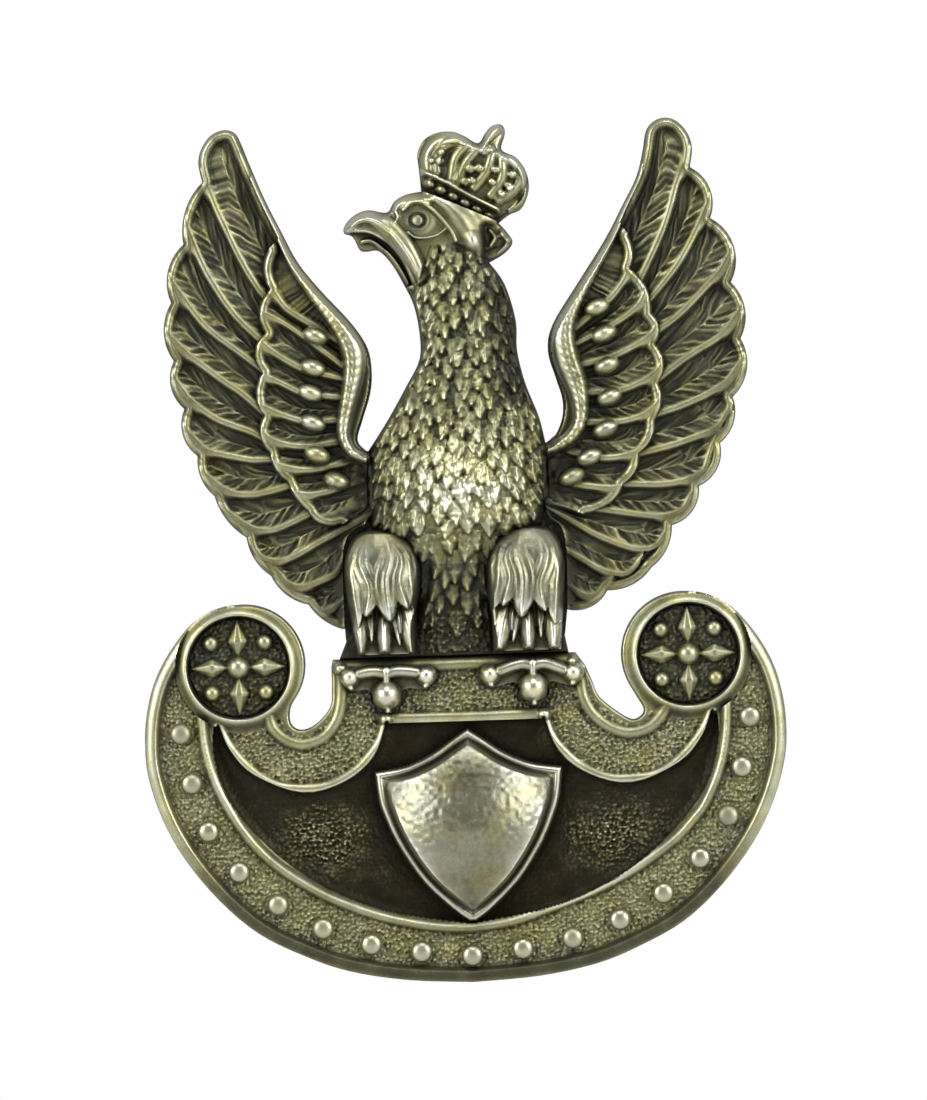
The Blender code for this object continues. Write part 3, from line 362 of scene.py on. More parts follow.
class Sheet:
    """The front surface of one piece, on the part of the shared grid that its outline covers."""

    def __init__(self, loop, edge=0.6, climb=2.2, free=None):
        """free lists the parts of the outline that stand free and so are rounded down."""
        self.loop = np.array([point[:2] for point in loop], float)
        low, high = self.loop.min(axis=0), self.loop.max(axis=0)
        self.column = int((low[0] - GRID_X) / STEP) - 2
        self.row = int((low[1] - GRID_Z) / STEP) - 2
        columns = int((high[0] - GRID_X) / STEP) + 3 - self.column
        rows = int((high[1] - GRID_Z) / STEP) + 3 - self.row
        xs = GRID_X + STEP * (self.column + np.arange(columns))
        zs = GRID_Z + STEP * (self.row + np.arange(rows))
        self.X, self.Z = np.meshgrid(xs, zs)
        self.inside = inside_loop(self.loop, self.X, self.Z)
        free = free or [np.vstack([self.loop, self.loop[:1]])]
        self.rim = np.min([self.measure(path)[0] for path in free], axis=0)
        self.edge = edge
        self.climb = climb
        self.h = np.zeros_like(self.X)
        # Tone offsets laid into the colour: real wear and tarnish, and painted light and shade.
        self.wear_and_painted_light = np.zeros_like(self.X)

    def contains_loop(self, loop, margin=0.12):
        """Grid points inside another outline by more than the margin."""
        closed = np.vstack([loop, loop[:1]])
        return inside_loop(loop, self.X, self.Z) & (self.measure(closed, 1.0)[0] > margin)

    def window(self, low, high, reach):
        """Slices of the grid round a box."""
        c0 = max(0, int((low[0] - reach - self.X[0, 0]) / STEP))
        c1 = max(0, int((high[0] + reach - self.X[0, 0]) / STEP) + 2)
        r0 = max(0, int((low[1] - reach - self.Z[0, 0]) / STEP))
        r1 = max(0, int((high[1] + reach - self.Z[0, 0]) / STEP) + 2)
        return slice(r0, r1), slice(c0, c1)

    def measure(self, path, reach=None):
        """Distance to a path, length travelled along it, and which side (+1 on its left)."""
        distance = np.full(self.X.shape, 1e3)
        along = np.zeros(self.X.shape)
        side = np.ones(self.X.shape)
        offset = np.zeros(self.X.shape)
        path = np.array([point[:2] for point in path], float)
        travelled = 0.0
        for start, end in zip(path[:-1], path[1:]):
            step = end - start
            length = math.hypot(*step)
            if length < 1e-6:
                continue
            part = ...
            if reach is not None:
                part = self.window(np.minimum(start, end), np.maximum(start, end), reach)
            px, pz = self.X[part] - start[0], self.Z[part] - start[1]
            t = np.clip((px * step[0] + pz * step[1]) / length ** 2, 0.0, 1.0)
            gap = np.hypot(px - t * step[0], pz - t * step[1])
            across = (step[0] * pz - step[1] * px) / length
            shared = (gap < distance[part] + 1e-7) & (np.abs(across) > offset[part])
            nearer = (gap < distance[part] - 1e-7) | shared
            distance[part] = np.where(nearer, gap, distance[part])
            along[part] = np.where(nearer, travelled + t * length, along[part])
            side[part] = np.where(nearer, np.where(across >= 0, 1.0, -1.0), side[part])
            offset[part] = np.where(nearer, np.abs(across), offset[part])
            travelled += length
        return distance, along, side

    def stroke(self, path, half, rise, base=None, power=None, curve=True):
        """A ridge along a path. half is one half width or the path points' own third value."""
        points = spline(path, 5) if curve and len(path) > 2 else [tuple(p) for p in path]
        widths = [point[2] for point in points] if len(points[0]) > 2 else None
        widest = max(widths) if widths else half
        low = np.min([point[:2] for point in points], axis=0)
        high = np.max([point[:2] for point in points], axis=0)
        part = self.window(low, high, widest + 0.1)
        view = self.cut(part)
        distance, along, _ = view.measure(points)
        if widths:
            half = np.interp(along, travel(np.array(points)), widths)
        t = distance / np.maximum(half, 1e-3)
        profile = bell(t) if power is None else round_over(t, power)
        self.lay(part, t < 1, rise * profile, base)

    def lay(self, part, covered, rise, base):
        """Adds a rise to part of the sheet, or lays it on a base wherever that is higher."""
        if base is None:
            self.h[part] += rise
        else:
            level = base[part] if isinstance(base, np.ndarray) else base
            raised = np.maximum(self.h[part], level + rise)
            self.h[part] = np.where(covered, raised, self.h[part])

    def cut(self, part):
        """A view of part of the sheet that shares its heights."""
        view = copy.copy(self)
        view.X, view.Z, view.h = self.X[part], self.Z[part], self.h[part]
        return view

    def bead(self, x, z, radius, rise, base=None, stretch=1.0, turn=0.0, power=0.5):
        """A rounded boss, set on the surface as it is or on a given base."""
        part = self.window((x, z), (x, z), radius * max(1.0, stretch) + 0.1)
        view = self.cut(part)
        dx, dz = view.X - x, view.Z - z
        u = (dx * math.cos(turn) + dz * math.sin(turn)) / stretch
        v = -dx * math.sin(turn) + dz * math.cos(turn)
        t = np.hypot(u, v) / radius
        profile = round_over(t, power)
        self.lay(part, t < 1, rise * profile, base)

    def leaf(self, surface, tip, length, width, lean, lift, point=0.8, vein=0.0):
        """One scale-like feather lying on a surface, its tip raised by lift."""
        reach = length + width
        part = self.window(tip, tip, reach)
        view = self.cut(part)
        if view.X.size == 0:
            return
        dx, dz = view.X - tip[0], view.Z - tip[1]
        along = dz * math.cos(lean) + dx * math.sin(lean)
        across = dx * math.cos(lean) - dz * math.sin(lean)
        q = along / length
        half = width / 2 * np.clip(q / 0.5, 0.0, 1.0) ** point
        t = np.abs(across) / np.maximum(half, 1e-4)
        shape = (1 - np.clip(t, 0, 1) ** 2) * smooth(along / 0.22)
        height = surface[part] + lift * (1.0 - 0.85 * np.clip(q, 0, 1)) * (0.15 + 0.85 * shape)
        height += vein * bell(across / 0.12) * smooth(q / 0.3)
        use = (t < 1) & (q > 0) & (q < 1)
        view.h[:] = np.where(use & (height > view.h), height, view.h)

    def stipple(self, weight, size=0.27, rise=0.12, seed=3):
        """Coarse punched grain: one rounded bump in every cell of a jittered net."""
        table = np.random.default_rng(seed).uniform(0.12, 0.88, (97, 89, 3))
        u, v = self.X / size, self.Z / size
        iu, iv = np.floor(u).astype(int), np.floor(v).astype(int)
        best = np.full(self.X.shape, 9.0)
        strength = np.zeros(self.X.shape)
        for du in (-1, 0, 1):
            for dv in (-1, 0, 1):
                cell = table[(iv + dv) % 97, (iu + du) % 89]
                gap = np.hypot(iu + du + cell[..., 0] - u, iv + dv + cell[..., 1] - v)
                strength = np.where(gap < best, 0.2 + 1.1 * cell[..., 2], strength)
                best = np.minimum(best, gap)
        self.h += weight * rise * (strength * bell(best / 0.7) - 0.3)
        self.h += weight * rise * 0.45 * value_noise(self.X, self.Z, size * 0.45, seed + 1)

    def close(self):
        """Rounds the surface down to the piece's edge."""
        wall = self.edge + self.climb * np.sqrt(self.rim)
        gap = self.h - wall
        self.h = np.where(gap > 0, wall, self.h) - 0.04 * np.exp(-(gap / 0.08) ** 2)
        self.h = np.maximum(self.h, self.edge * 0.6)


def blurred(heights, sigma):
    """Gaussian blur over the whole grid."""
    rows, columns = heights.shape
    fz = np.fft.fftfreq(rows)[:, None]
    fx = np.fft.rfftfreq(columns)[None, :]
    spread = sigma / STEP
    kernel = np.exp(-2 * (math.pi * spread) ** 2 * (fx ** 2 + fz ** 2))
    return np.fft.irfft2(np.fft.rfft2(heights) * kernel, s=heights.shape)


# --------------------------------------------------------------------------------------------
# Meshes.

BACK_RELIEF = 0.2           # tone at the foot of the walls
sheets = {}


def kept_cells(sheet):
    """Grid cells inside the outline, without corners that touch only by a point."""
    cells_x = sheet.X[:-1, :-1] + STEP / 2
    cells_z = sheet.Z[:-1, :-1] + STEP / 2
    keep = inside_loop(sheet.loop, cells_x, cells_z)
    for _ in range(6):
        a, b, c, d = keep[:-1, :-1], keep[:-1, 1:], keep[1:, :-1], keep[1:, 1:]
        pinch = (a & d & ~b & ~c) | (b & c & ~a & ~d)
        if not pinch.any():
            break
        rows, columns = np.nonzero(pinch)
        keep[rows, columns] = True
        keep[rows, columns + 1] = True
    return keep


def boundary_loops(edges):
    """Chains of vertices from directed boundary edges."""
    follow = {int(a): int(b) for a, b in edges}
    loops = []
    while follow:
        first, here = follow.popitem()
        loop = [first]
        while here != first:
            loop.append(here)
            here = follow.pop(here)
        loops.append(loop)
    return loops


def border_edges(keep, index):
    """Directed edges round the kept cells, as pairs of vertex numbers."""
    padded = np.pad(keep, 1)
    inner = padded[1:-1, 1:-1]
    directed = []
    for outside, first, second in ((padded[:-2, 1:-1], (0, 0), (0, 1)),
                                   (padded[1:-1, 2:], (0, 1), (1, 1)),
                                   (padded[2:, 1:-1], (1, 1), (1, 0)),
                                   (padded[1:-1, :-2], (1, 0), (0, 0))):
        rows, columns = np.nonzero(inner & ~outside)
        directed.append(np.stack([index[rows + first[0], columns + first[1]],
                                  index[rows + second[0], columns + second[1]]], axis=1))
    return np.concatenate(directed)


def onto_outline(loop, x, z):
    """The points of an outline that lie nearest to the given ones."""
    best = np.full(len(x), 1e9)
    near_x, near_z = x.copy(), z.copy()
    for start, end in zip(loop, np.roll(loop, -1, axis=0)):
        step = end - start
        t = np.clip(((x - start[0]) * step[0] + (z - start[1]) * step[1])
                    / max(step @ step, 1e-12), 0, 1)
        foot_x, foot_z = start[0] + t * step[0], start[1] + t * step[1]
        gap = np.hypot(foot_x - x, foot_z - z)
        nearer = gap < best
        best = np.where(nearer, gap, best)
        near_x, near_z = np.where(nearer, foot_x, near_x), np.where(nearer, foot_z, near_z)
    return near_x, near_z


def fill_mesh(name, verts, quads, caps):
    """A smooth mesh of four-cornered faces in slot 0 and many-cornered caps in slot 1."""
    mesh = bpy.data.meshes.new(name)
    corners = np.concatenate([quads.ravel(), *[np.array(cap) for cap in caps]])
    sizes = np.concatenate([np.full(len(quads), 4), [len(cap) for cap in caps]]).astype(int)
    starts = np.concatenate([[0], np.cumsum(sizes)[:-1]])
    slots = np.zeros(len(sizes), np.int32)
    slots[len(quads):] = 1
    mesh.vertices.add(len(verts))
    mesh.vertices.foreach_set("co", (verts * MM).ravel())
    mesh.loops.add(len(corners))
    mesh.loops.foreach_set("vertex_index", corners.astype(np.int32))
    mesh.polygons.add(len(sizes))
    mesh.polygons.foreach_set("loop_start", starts.astype(np.int32))
    mesh.polygons.foreach_set("loop_total", sizes.astype(np.int32))
    mesh.polygons.foreach_set("material_index", slots)
    mesh.update(calc_edges=True)
    mesh.validate()
    mesh.shade_smooth()
    return mesh


def put_in_scene(name, data):
    thing = bpy.data.objects.new(name, data)
    bpy.context.scene.collection.objects.link(thing)
    return thing


def build_relief(name, sheet, relief, finish, back):
    """Closed mesh of a sheet, with its outline followed exactly and a flat back."""
    keep = kept_cells(sheet)
    rows, columns = keep.shape
    used = np.zeros(sheet.X.shape, bool)
    for dr in (0, 1):
        for dc in (0, 1):
            used[dr:rows + dr, dc:columns + dc] |= keep
    index = np.full(sheet.X.shape, -1)
    index[used] = np.arange(used.sum())
    r, c = np.nonzero(keep)
    # Faces of the front run (x, z) counter-clockwise, so their normals point to -Y.
    front = np.stack([index[r, c], index[r, c + 1], index[r + 1, c + 1], index[r + 1, c]], axis=1)
    directed = border_edges(keep, index)
    border = np.unique(directed)

    x, z, h = sheet.X[used], sheet.Z[used], sheet.h[used]
    near_x, near_z = onto_outline(sheet.loop, x[border], z[border])
    x[border], z[border] = near_x, near_z
    low = sheet.rim[used][border] < 1.5 * STEP
    h[border] = np.where(low, np.minimum(h[border], sheet.edge + 0.25), h[border])
    count = len(x)
    verts = np.zeros((count + len(border), 3))
    verts[:count] = np.stack([x, -h, z], axis=1)
    verts[count:, 0], verts[count:, 1], verts[count:, 2] = near_x, -back, near_z
    lower = np.full(count, -1)
    lower[border] = count + np.arange(len(border))
    walls = np.stack([directed[:, 1], directed[:, 0], lower[directed[:, 0]],
                      lower[directed[:, 1]]], axis=1)
    caps = [lower[loop][::-1] for loop in boundary_loops(directed)]
    mesh = fill_mesh(name, verts, np.concatenate([front, walls]), caps)

    pairs = np.zeros(len(mesh.edges) * 2, np.int32)
    mesh.edges.foreach_get("vertices", pairs)
    ends = np.sort(pairs.reshape(-1, 2), axis=1).astype(np.int64)
    brims = np.sort(directed, axis=1).astype(np.int64)
    on_brim = np.isin(ends @ (len(verts), 1), brims @ (len(verts), 1))
    sharp = mesh.attributes.new("sharp_edge", "BOOLEAN", "EDGE")
    sharp.data.foreach_set("value", (ends >= count).all(axis=1) | on_brim)
    toned = relief[sheet.row:sheet.row + sheet.X.shape[0],
                   sheet.column:sheet.column + sheet.X.shape[1]][used]
    level = np.concatenate([toned, np.full(len(border), BACK_RELIEF)])
    attribute = mesh.attributes.new("relief", "FLOAT", "POINT")
    attribute.data.foreach_set("value", level.astype(np.float32))
    mesh.materials.append(finish)
    mesh.materials.append(back_silver)
    return put_in_scene(name, mesh)


def build_turned(name, profile, sides, centre=(0.0, 0.0), closed=True, finish=None, wave=None):
    """A body turned about Y from (radius, y) points; open profiles start and end on the axis."""
    angles = np.arange(sides) * math.tau / sides
    verts, faces = [], []
    rows = []
    for radius, y in profile:
        if radius < 1e-6:
            rows.append([len(verts)])
            verts.append((centre[0], y, centre[1]))
            continue
        rows.append(list(range(len(verts), len(verts) + sides)))
        for angle in angles:
            local = radius + (wave(radius, y, angle) if wave else 0.0)
            verts.append((centre[0] + local * math.sin(angle), y,
                          centre[1] + local * math.cos(angle)))
    spans = list(zip(rows, rows[1:] + rows[:1])) if closed else list(zip(rows, rows[1:]))
    for low, high in spans:
        for side in range(sides):
            turn = (side + 1) % sides
            if len(low) == 1:
                faces.append((low[0], high[turn], high[side]))
            elif len(high) == 1:
                faces.append((low[side], low[turn], high[0]))
            else:
                faces.append((low[side], low[turn], high[turn], high[side]))
    mesh = bpy.data.meshes.new(name)
    mesh.from_pydata([tuple(MM * value for value in vertex) for vertex in verts], [], faces)
    mesh.update()
    volume = sum((mesh.vertices[p.vertices[0]].co @ p.normal) * p.area for p in mesh.polygons)
    if volume < 0:
        mesh.flip_normals()
    mesh.shade_smooth()
    mesh.set_sharp_from_angle(angle=math.radians(42))
    mesh.materials.append(finish)
    return put_in_scene(name, mesh)


# --------------------------------------------------------------------------------------------
# Materials.

def nodes_of(name):
    finish = bpy.data.materials.new(name)
    finish.use_nodes = True
    return finish, finish.node_tree.nodes, finish.node_tree.links


def ramp(nodes, stops):
    """A colour ramp from (position, colour) stops."""
    node = nodes.new("ShaderNodeValToRGB")
    while len(node.color_ramp.elements) > 1:
        node.color_ramp.elements.remove(node.color_ramp.elements[-1])
    node.color_ramp.elements[0].position = stops[0][0]
    node.color_ramp.elements[0].color = (*stops[0][1], 1)
    for place, colour in stops[1:]:
        node.color_ramp.elements.new(place).color = (*colour, 1)
    return node


def maths(nodes, links, operation, *values, clamp=False):
    """A maths node on sockets or plain numbers."""
    node = nodes.new("ShaderNodeMath")
    node.operation = operation
    node.use_clamp = clamp
    for socket, value in zip(node.inputs, values):
        if isinstance(value, (int, float)):
            socket.default_value = value
        else:
            links.new(value, socket)
    return node.outputs[0]


def noise(nodes, links, place, size, detail=3.0, stretch=None):
    """Noise whose features are about the given size in millimetres."""
    texture = nodes.new("ShaderNodeTexNoise")
    texture.inputs["Scale"].default_value = 1.0 / (size * MM)
    texture.inputs["Detail"].default_value = detail
    if stretch:
        mapping = nodes.new("ShaderNodeMapping")
        mapping.inputs["Scale"].default_value = stretch
        links.new(place, mapping.inputs["Vector"])
        place = mapping.outputs[0]
    links.new(place, texture.inputs["Vector"])
    return texture.outputs["Fac"]


def add_grain(nodes, links, height, strength):
    """Fine roughness of the surface, a fiftieth of a millimetre deep."""
    bump = nodes.new("ShaderNodeBump")
    bump.inputs["Strength"].default_value = strength
    bump.inputs["Distance"].default_value = 0.02 * MM
    links.new(height, bump.inputs["Height"])
    links.new(bump.outputs[0], nodes["Principled BSDF"].inputs["Normal"])


def grey(value):
    return (value, value, value)


def oxidised(name, shift=0.0, colours=None, rough=(0.62, 0.42), grain=0.7, mottle=0.34):
    """Old silver: dark in the recesses, worn bright on the high places, and lighter or darker
    wherever the relief tone carries painted light and shade.
    """
    finish, nodes, links = nodes_of(name)
    shader = nodes["Principled BSDF"]
    place = nodes.new("ShaderNodeTexCoord").outputs["Object"]
    relief = nodes.new("ShaderNodeAttribute")
    relief.attribute_name = "relief"
    patches = noise(nodes, links, place, 1.1, 4.0)
    specks = noise(nodes, links, place, 0.16, 3.0)
    worn_and_painted_light = maths(nodes, links, "MULTIPLY_ADD", patches, mottle, shift - mottle / 2)
    worn_and_painted_light = maths(nodes, links, "ADD", worn_and_painted_light, relief.outputs["Fac"])
    fine = maths(nodes, links, "MULTIPLY_ADD", specks, 0.22, -0.11)
    worn_and_painted_light = maths(nodes, links, "ADD", worn_and_painted_light, fine, clamp=True)
    tint = ramp(nodes, colours or SILVER_STOPS)
    links.new(worn_and_painted_light, tint.inputs[0])
    cast = ramp(nodes, [(0.34, (1.05, 1.0, 0.82)), (0.5, (1.0, 1.0, 0.97)),
                        (0.66, (0.97, 1.0, 1.04))])
    links.new(noise(nodes, links, place, 1.7, 3.0), cast.inputs[0])
    blend = nodes.new("ShaderNodeMix")
    blend.data_type = "RGBA"
    blend.blend_type = "MULTIPLY"
    blend.inputs["Factor"].default_value = 1.0
    links.new(tint.outputs[0], blend.inputs[6])
    links.new(cast.outputs[0], blend.inputs[7])
    links.new(blend.outputs[2], shader.inputs["Base Color"])
    shader.inputs["Metallic"].default_value = 1.0
    gloss = ramp(nodes, [(0.0, grey(rough[0])), (0.45, grey(sum(rough) / 2)),
                         (0.8, grey(rough[1]))])
    links.new(worn_and_painted_light, gloss.inputs[0])
    smear = maths(nodes, links, "MULTIPLY_ADD", patches, 0.14, -0.07)
    links.new(maths(nodes, links, "ADD", gloss.outputs[0], smear), shader.inputs["Roughness"])
    add_grain(nodes, links, noise(nodes, links, place, 0.12, 5.0), grain)
    return finish


def plated(name, colour, rough, brushed=None, grain=0.25, stain=0.62):
    """Plated steel or solder: one colour with faint stains, scratches and finger marks."""
    finish, nodes, links = nodes_of(name)
    shader = nodes["Principled BSDF"]
    place = nodes.new("ShaderNodeTexCoord").outputs["Object"]
    stains = noise(nodes, links, place, 2.4, 5.0)
    tint = ramp(nodes, [(0.3, tuple(c * stain for c in colour)), (0.55, colour),
                        (0.75, tuple(min(1.0, c * 1.12) for c in colour))])
    links.new(stains, tint.inputs[0])
    links.new(tint.outputs[0], shader.inputs["Base Color"])
    shader.inputs["Metallic"].default_value = 1.0
    gloss = ramp(nodes, [(0.3, grey(rough * 1.5)), (0.7, grey(rough * 0.8))])
    links.new(stains, gloss.inputs[0])
    links.new(gloss.outputs[0], shader.inputs["Roughness"])
    add_grain(nodes, links, noise(nodes, links, place, 0.2, 4.0, brushed), grain)
    return finish


SILVER_STOPS = [(0.0, (0.036, 0.036, 0.027)), (0.2, (0.076, 0.076, 0.050)),
                (0.4, (0.160, 0.156, 0.086)), (0.6, (0.280, 0.277, 0.174)),
                (0.8, (0.43, 0.43, 0.32)), (1.0, (0.60, 0.60, 0.48))]
WORN_STOPS = [(0.0, (0.050, 0.048, 0.030)), (0.25, (0.12, 0.118, 0.080)),
              (0.5, (0.25, 0.25, 0.19)), (0.75, (0.43, 0.43, 0.355)), (1.0, (0.66, 0.66, 0.58))]
DARK_STOPS = [(0.0, (0.012, 0.011, 0.007)), (0.3, (0.028, 0.026, 0.016)),
              (0.5, (0.090, 0.082, 0.045)), (0.75, (0.28, 0.27, 0.17)), (1.0, (0.52, 0.51, 0.39))]
silver = oxidised("oxidised_silver", rough=(0.58, 0.37))
worn_silver = oxidised("worn_silver", shift=0.06, colours=WORN_STOPS, rough=(0.46, 0.3),
                       mottle=0.25)
shaded_silver = oxidised("shaded_silver", shift=-0.12, rough=(0.6, 0.36))
stud_silver = plated("stud_silver", (0.40, 0.398, 0.29), 0.36, grain=0.35)
dark_silver = oxidised("dark_patina", shift=-0.05, colours=DARK_STOPS, rough=(0.5, 0.34))
back_silver = plated("back_silver", (0.40, 0.39, 0.31), 0.36, (1.0, 1.0, 0.4), 0.4, 0.85)
fixing_steel = plated("plated_fixing", (0.62, 0.60, 0.53), 0.26)
washer_steel = plated("washer_steel", (0.56, 0.56, 0.55), 0.24, (1.0, 1.0, 0.2))


# --------------------------------------------------------------------------------------------
# Crescent plate.

OUTER_RIGHT = spline(PLATE_OUTER)
SIDE_RIGHT = arc(ROUNDEL_TOP, (17.32, -3.05), (15.1, -6.5), 24)
FIELD_EDGE = spline(FIELD_RIM)
SCROLL_EDGE = spline(FIELD_SCROLL)
PLATE_CLIMB = 4.0
BAND_LEVEL = 1.5            # ground of the studded band
SCROLL_LEVEL = 1.55         # ground of the scrolls
POCKET_RADIUS = 2.98        # wall of a roundel's pocket
COLLAR_RADIUS = 3.95        # outer foot of the collar round it


def stud_places():
    """Seventeen places at even steps along the middle of the band."""
    path = [(0, -20.75), (6.2, -19.85), (11.65, -17.3), (15.6, -12.85), (17.1, -6.92)]
    curve = np.array(spline(path, 12))
    travelled = travel(curve)
    stops = np.linspace(0.0, travelled[-1], 9)
    right = [(float(np.interp(stop, travelled, curve[:, 0])),
              float(np.interp(stop, travelled, curve[:, 1]))) for stop in stops]
    return mirrored(right)[:-1] + right


STUD_PLACES = stud_places()


def make_rim():
    """The studded band along the outside of the crescent."""
    outer = mirrored(OUTER_RIGHT)[:-1] + OUTER_RIGHT
    rim = Sheet(outline(OUTER_RIGHT, SIDE_RIGHT, FIELD_EDGE, mirrored(FIELD_EDGE),
                        mirrored(SIDE_RIGHT), mirrored(OUTER_RIGHT)),
                edge=PLATE_EDGE, climb=PLATE_CLIMB, free=[outer])
    x, z = rim.X, rim.Z
    e = rim.measure(extended(outer, 0.5))[0]
    crest = 1.05 + 0.95 * round_over((e - 0.62) / 0.75, 0.5)
    inner_path = spline(INNER_RIDGE_LEFT)[:-1] + spline(INNER_RIDGE_RIGHT)[::-1]
    d, _, side = rim.measure(extended(inner_path, 1.0))
    toward_field = d * side
    border = np.where(e < 0.62, crest, BAND_LEVEL + 0.5 * bell((e - 0.62) / 0.42))
    band = BAND_LEVEL + 0.05 * value_noise(x, z, 1.5, 11)
    ridge = BAND_LEVEL + 0.38 * round_over(d / 0.4, 0.8)
    inner = 1.08 + 0.92 * smooth(1 - toward_field / 0.8)
    rim.h = np.maximum(border, np.where(toward_field > 0, inner, ridge))
    rim.h = np.where((toward_field <= 0) & (e > 0.62), np.maximum(rim.h, band), rim.h)
    on_band = smooth((e - 0.9) / 0.2) * smooth((-toward_field - 0.25) / 0.2)
    rim.stipple(on_band, 0.25, 0.13)
    for stud_x, stud_z in STUD_PLACES:
        rim.h -= 0.04 * bell((np.hypot(x - stud_x, z - stud_z) - 0.78) / 0.2)
    # Painted shade along the outer edge at the bottom, which faces downward.
    rim.wear_and_painted_light -= 0.52 * smooth((-z - 12.0) / 6.0) * smooth((1.0 - e) / 0.3)
    sheets["pelta_rim"] = (rim, silver)


def make_field():
    """The sunk dark field, with a rough patch on each side of the escutcheon."""
    field = Sheet(outline(FIELD_EDGE, mirrored(FIELD_EDGE), mirrored(SCROLL_EDGE[::-1]),
                          SCROLL_EDGE[::-1]), edge=1.0, climb=9.0)
    x, z = field.X, field.Z
    field.h = 1.02 + 0.35 * np.exp(-field.rim / 0.3) + 0.04 * value_noise(x, z, 1.2, 5)
    field.rim = field.rim + 2.0
    rough_patch = sum(np.exp(-((x - middle) / 2.6) ** 2 - ((z + 13.6) / 2.0) ** 2)
                      for middle in (-8.7, 8.7))
    grainy = np.clip(rough_patch * 1.3 + 0.25 * value_noise(x, z, 0.9, 6), 0.12, 1)
    field.stipple(grainy, 0.27, 0.2, 9)
    field.wear_and_painted_light += 0.15 * rough_patch - 0.05
    sheets["pelta_field"] = (field, dark_silver)


def make_scrolls():
    """The two scrolls with their roundels, and the bar that the eagle stands on."""
    around_right = arc(ROUNDEL_TOP, (ROUNDEL_SIDE, -2.7), NOTCH_RIGHT[0], 24)
    around_left = arc(NOTCH_LEFT[-1], (-ROUNDEL_SIDE, -2.7), (-ROUNDEL_TOP[0], ROUNDEL_TOP[1]), 24)
    bar = [(BAR_CORNERS[1], BAR_TOP), (BAR_CORNERS[0], BAR_TOP)]
    top = around_right + spline(NOTCH_RIGHT) + bar + spline(NOTCH_LEFT) + around_left
    body = Sheet(outline(SIDE_RIGHT[::-1], top, mirrored(SIDE_RIGHT)[::-1],
                         mirrored(SCROLL_EDGE[::-1]), SCROLL_EDGE[::-1]),
                 edge=PLATE_EDGE, climb=PLATE_CLIMB,
                 free=[top, mirrored(SCROLL_EDGE), SCROLL_EDGE])
    body.h[:] = SCROLL_LEVEL + 0.05 * value_noise(body.X, body.Z, 1.4, 12)
    ridges = [(SCROLL_RIDGE, 0.36), (mirrored(SCROLL_RIDGE), 0.36), (NOTCH_RIDGE_LEFT, 0.36),
              (NOTCH_RIDGE_RIGHT, 0.36), ([(-4.95, -6.35), (0.0, -6.4), (4.95, -6.35)], 0.34),
              ([(-7.5, -3.25), (0.0, -3.25), (6.5, -3.25)], 0.34)]
    grounds = smooth((body.rim - 0.25) / 0.2)
    for path, half in ridges:
        d = body.measure(spline(path, 5), 1.2)[0]
        grounds *= smooth((d - half * 0.8) / 0.15)
    distances = [np.hypot(body.X - side * ROUNDEL[0], body.Z - ROUNDEL[1]) for side in (-1, 1)]
    for r in distances:
        grounds *= smooth((r - COLLAR_RADIUS + 0.15) / 0.15)
    body.stipple(grounds, 0.25, 0.16, 4)
    for path, half in ridges:
        body.stroke(path, half + 0.06, 0.36, power=0.8)
    for r in distances:
        fall = 1 - 0.42 * smooth((r - POCKET_RADIUS - 0.18) / 0.7)
        collar = 1.02 + 0.98 * smooth((r - POCKET_RADIUS) / 0.18) * fall
        ringed = np.where(r < 3.4, collar, np.maximum(collar, body.h))
        body.h = np.where(r < COLLAR_RADIUS, ringed, body.h)
        body.wear_and_painted_light -= 0.2 * bell((r - 3.5) / 0.5)
    sheets["pelta_scrolls"] = (body, silver)


def make_rosettes():
    """A cross of four lozenges with five bosses in each roundel."""
    for side, name in ((-1, "left"), (1, "right")):
        cx, cz = side * ROUNDEL[0], ROUNDEL[1]
        sheet = Sheet(ring((cx, cz), ROSETTE_RADIUS), edge=1.0, climb=1.2)
        sheet.h[:] = 1.14
        sheet.stipple(np.ones_like(sheet.h), 0.3, 0.12, 21)
        sheet.wear_and_painted_light -= 0.04
        dx, dz = sheet.X - cx, sheet.Z - cz
        for u, v in ((dx, dz), (dz, dx)):
            reach = np.abs(v)
            taper = np.clip(np.minimum(reach - 0.5, (ROSETTE_RADIUS - reach) / 1.3), 0, 1)
            t = np.abs(u) / np.maximum(0.56 * taper, 1e-3)
            rise = (0.12 + 0.34 * taper) * np.clip(1.3 - t, 0, 1)
            sheet.h = np.where(t < 1, np.maximum(sheet.h, 1.2 + rise), sheet.h)
            sheet.wear_and_painted_light = np.where(t < 1, 0.12, sheet.wear_and_painted_light)
        sheet.bead(cx, cz, 0.7, 0.85, 1.2)
        sheet.wear_and_painted_light = np.where(np.hypot(dx, dz) < 0.7, 0.05, sheet.wear_and_painted_light)
        for bx in (-1.62, 1.62):
            for bz in (-1.5, 1.5):
                sheet.bead(cx + bx, cz + bz, 0.5, 0.6, 1.2)
                boss = np.hypot(dx - bx, dz - bz) < 0.5
                sheet.wear_and_painted_light = np.where(boss, 0.0, sheet.wear_and_painted_light)
        sheets[f"rosette_{name}_relief"] = (sheet, shaded_silver)


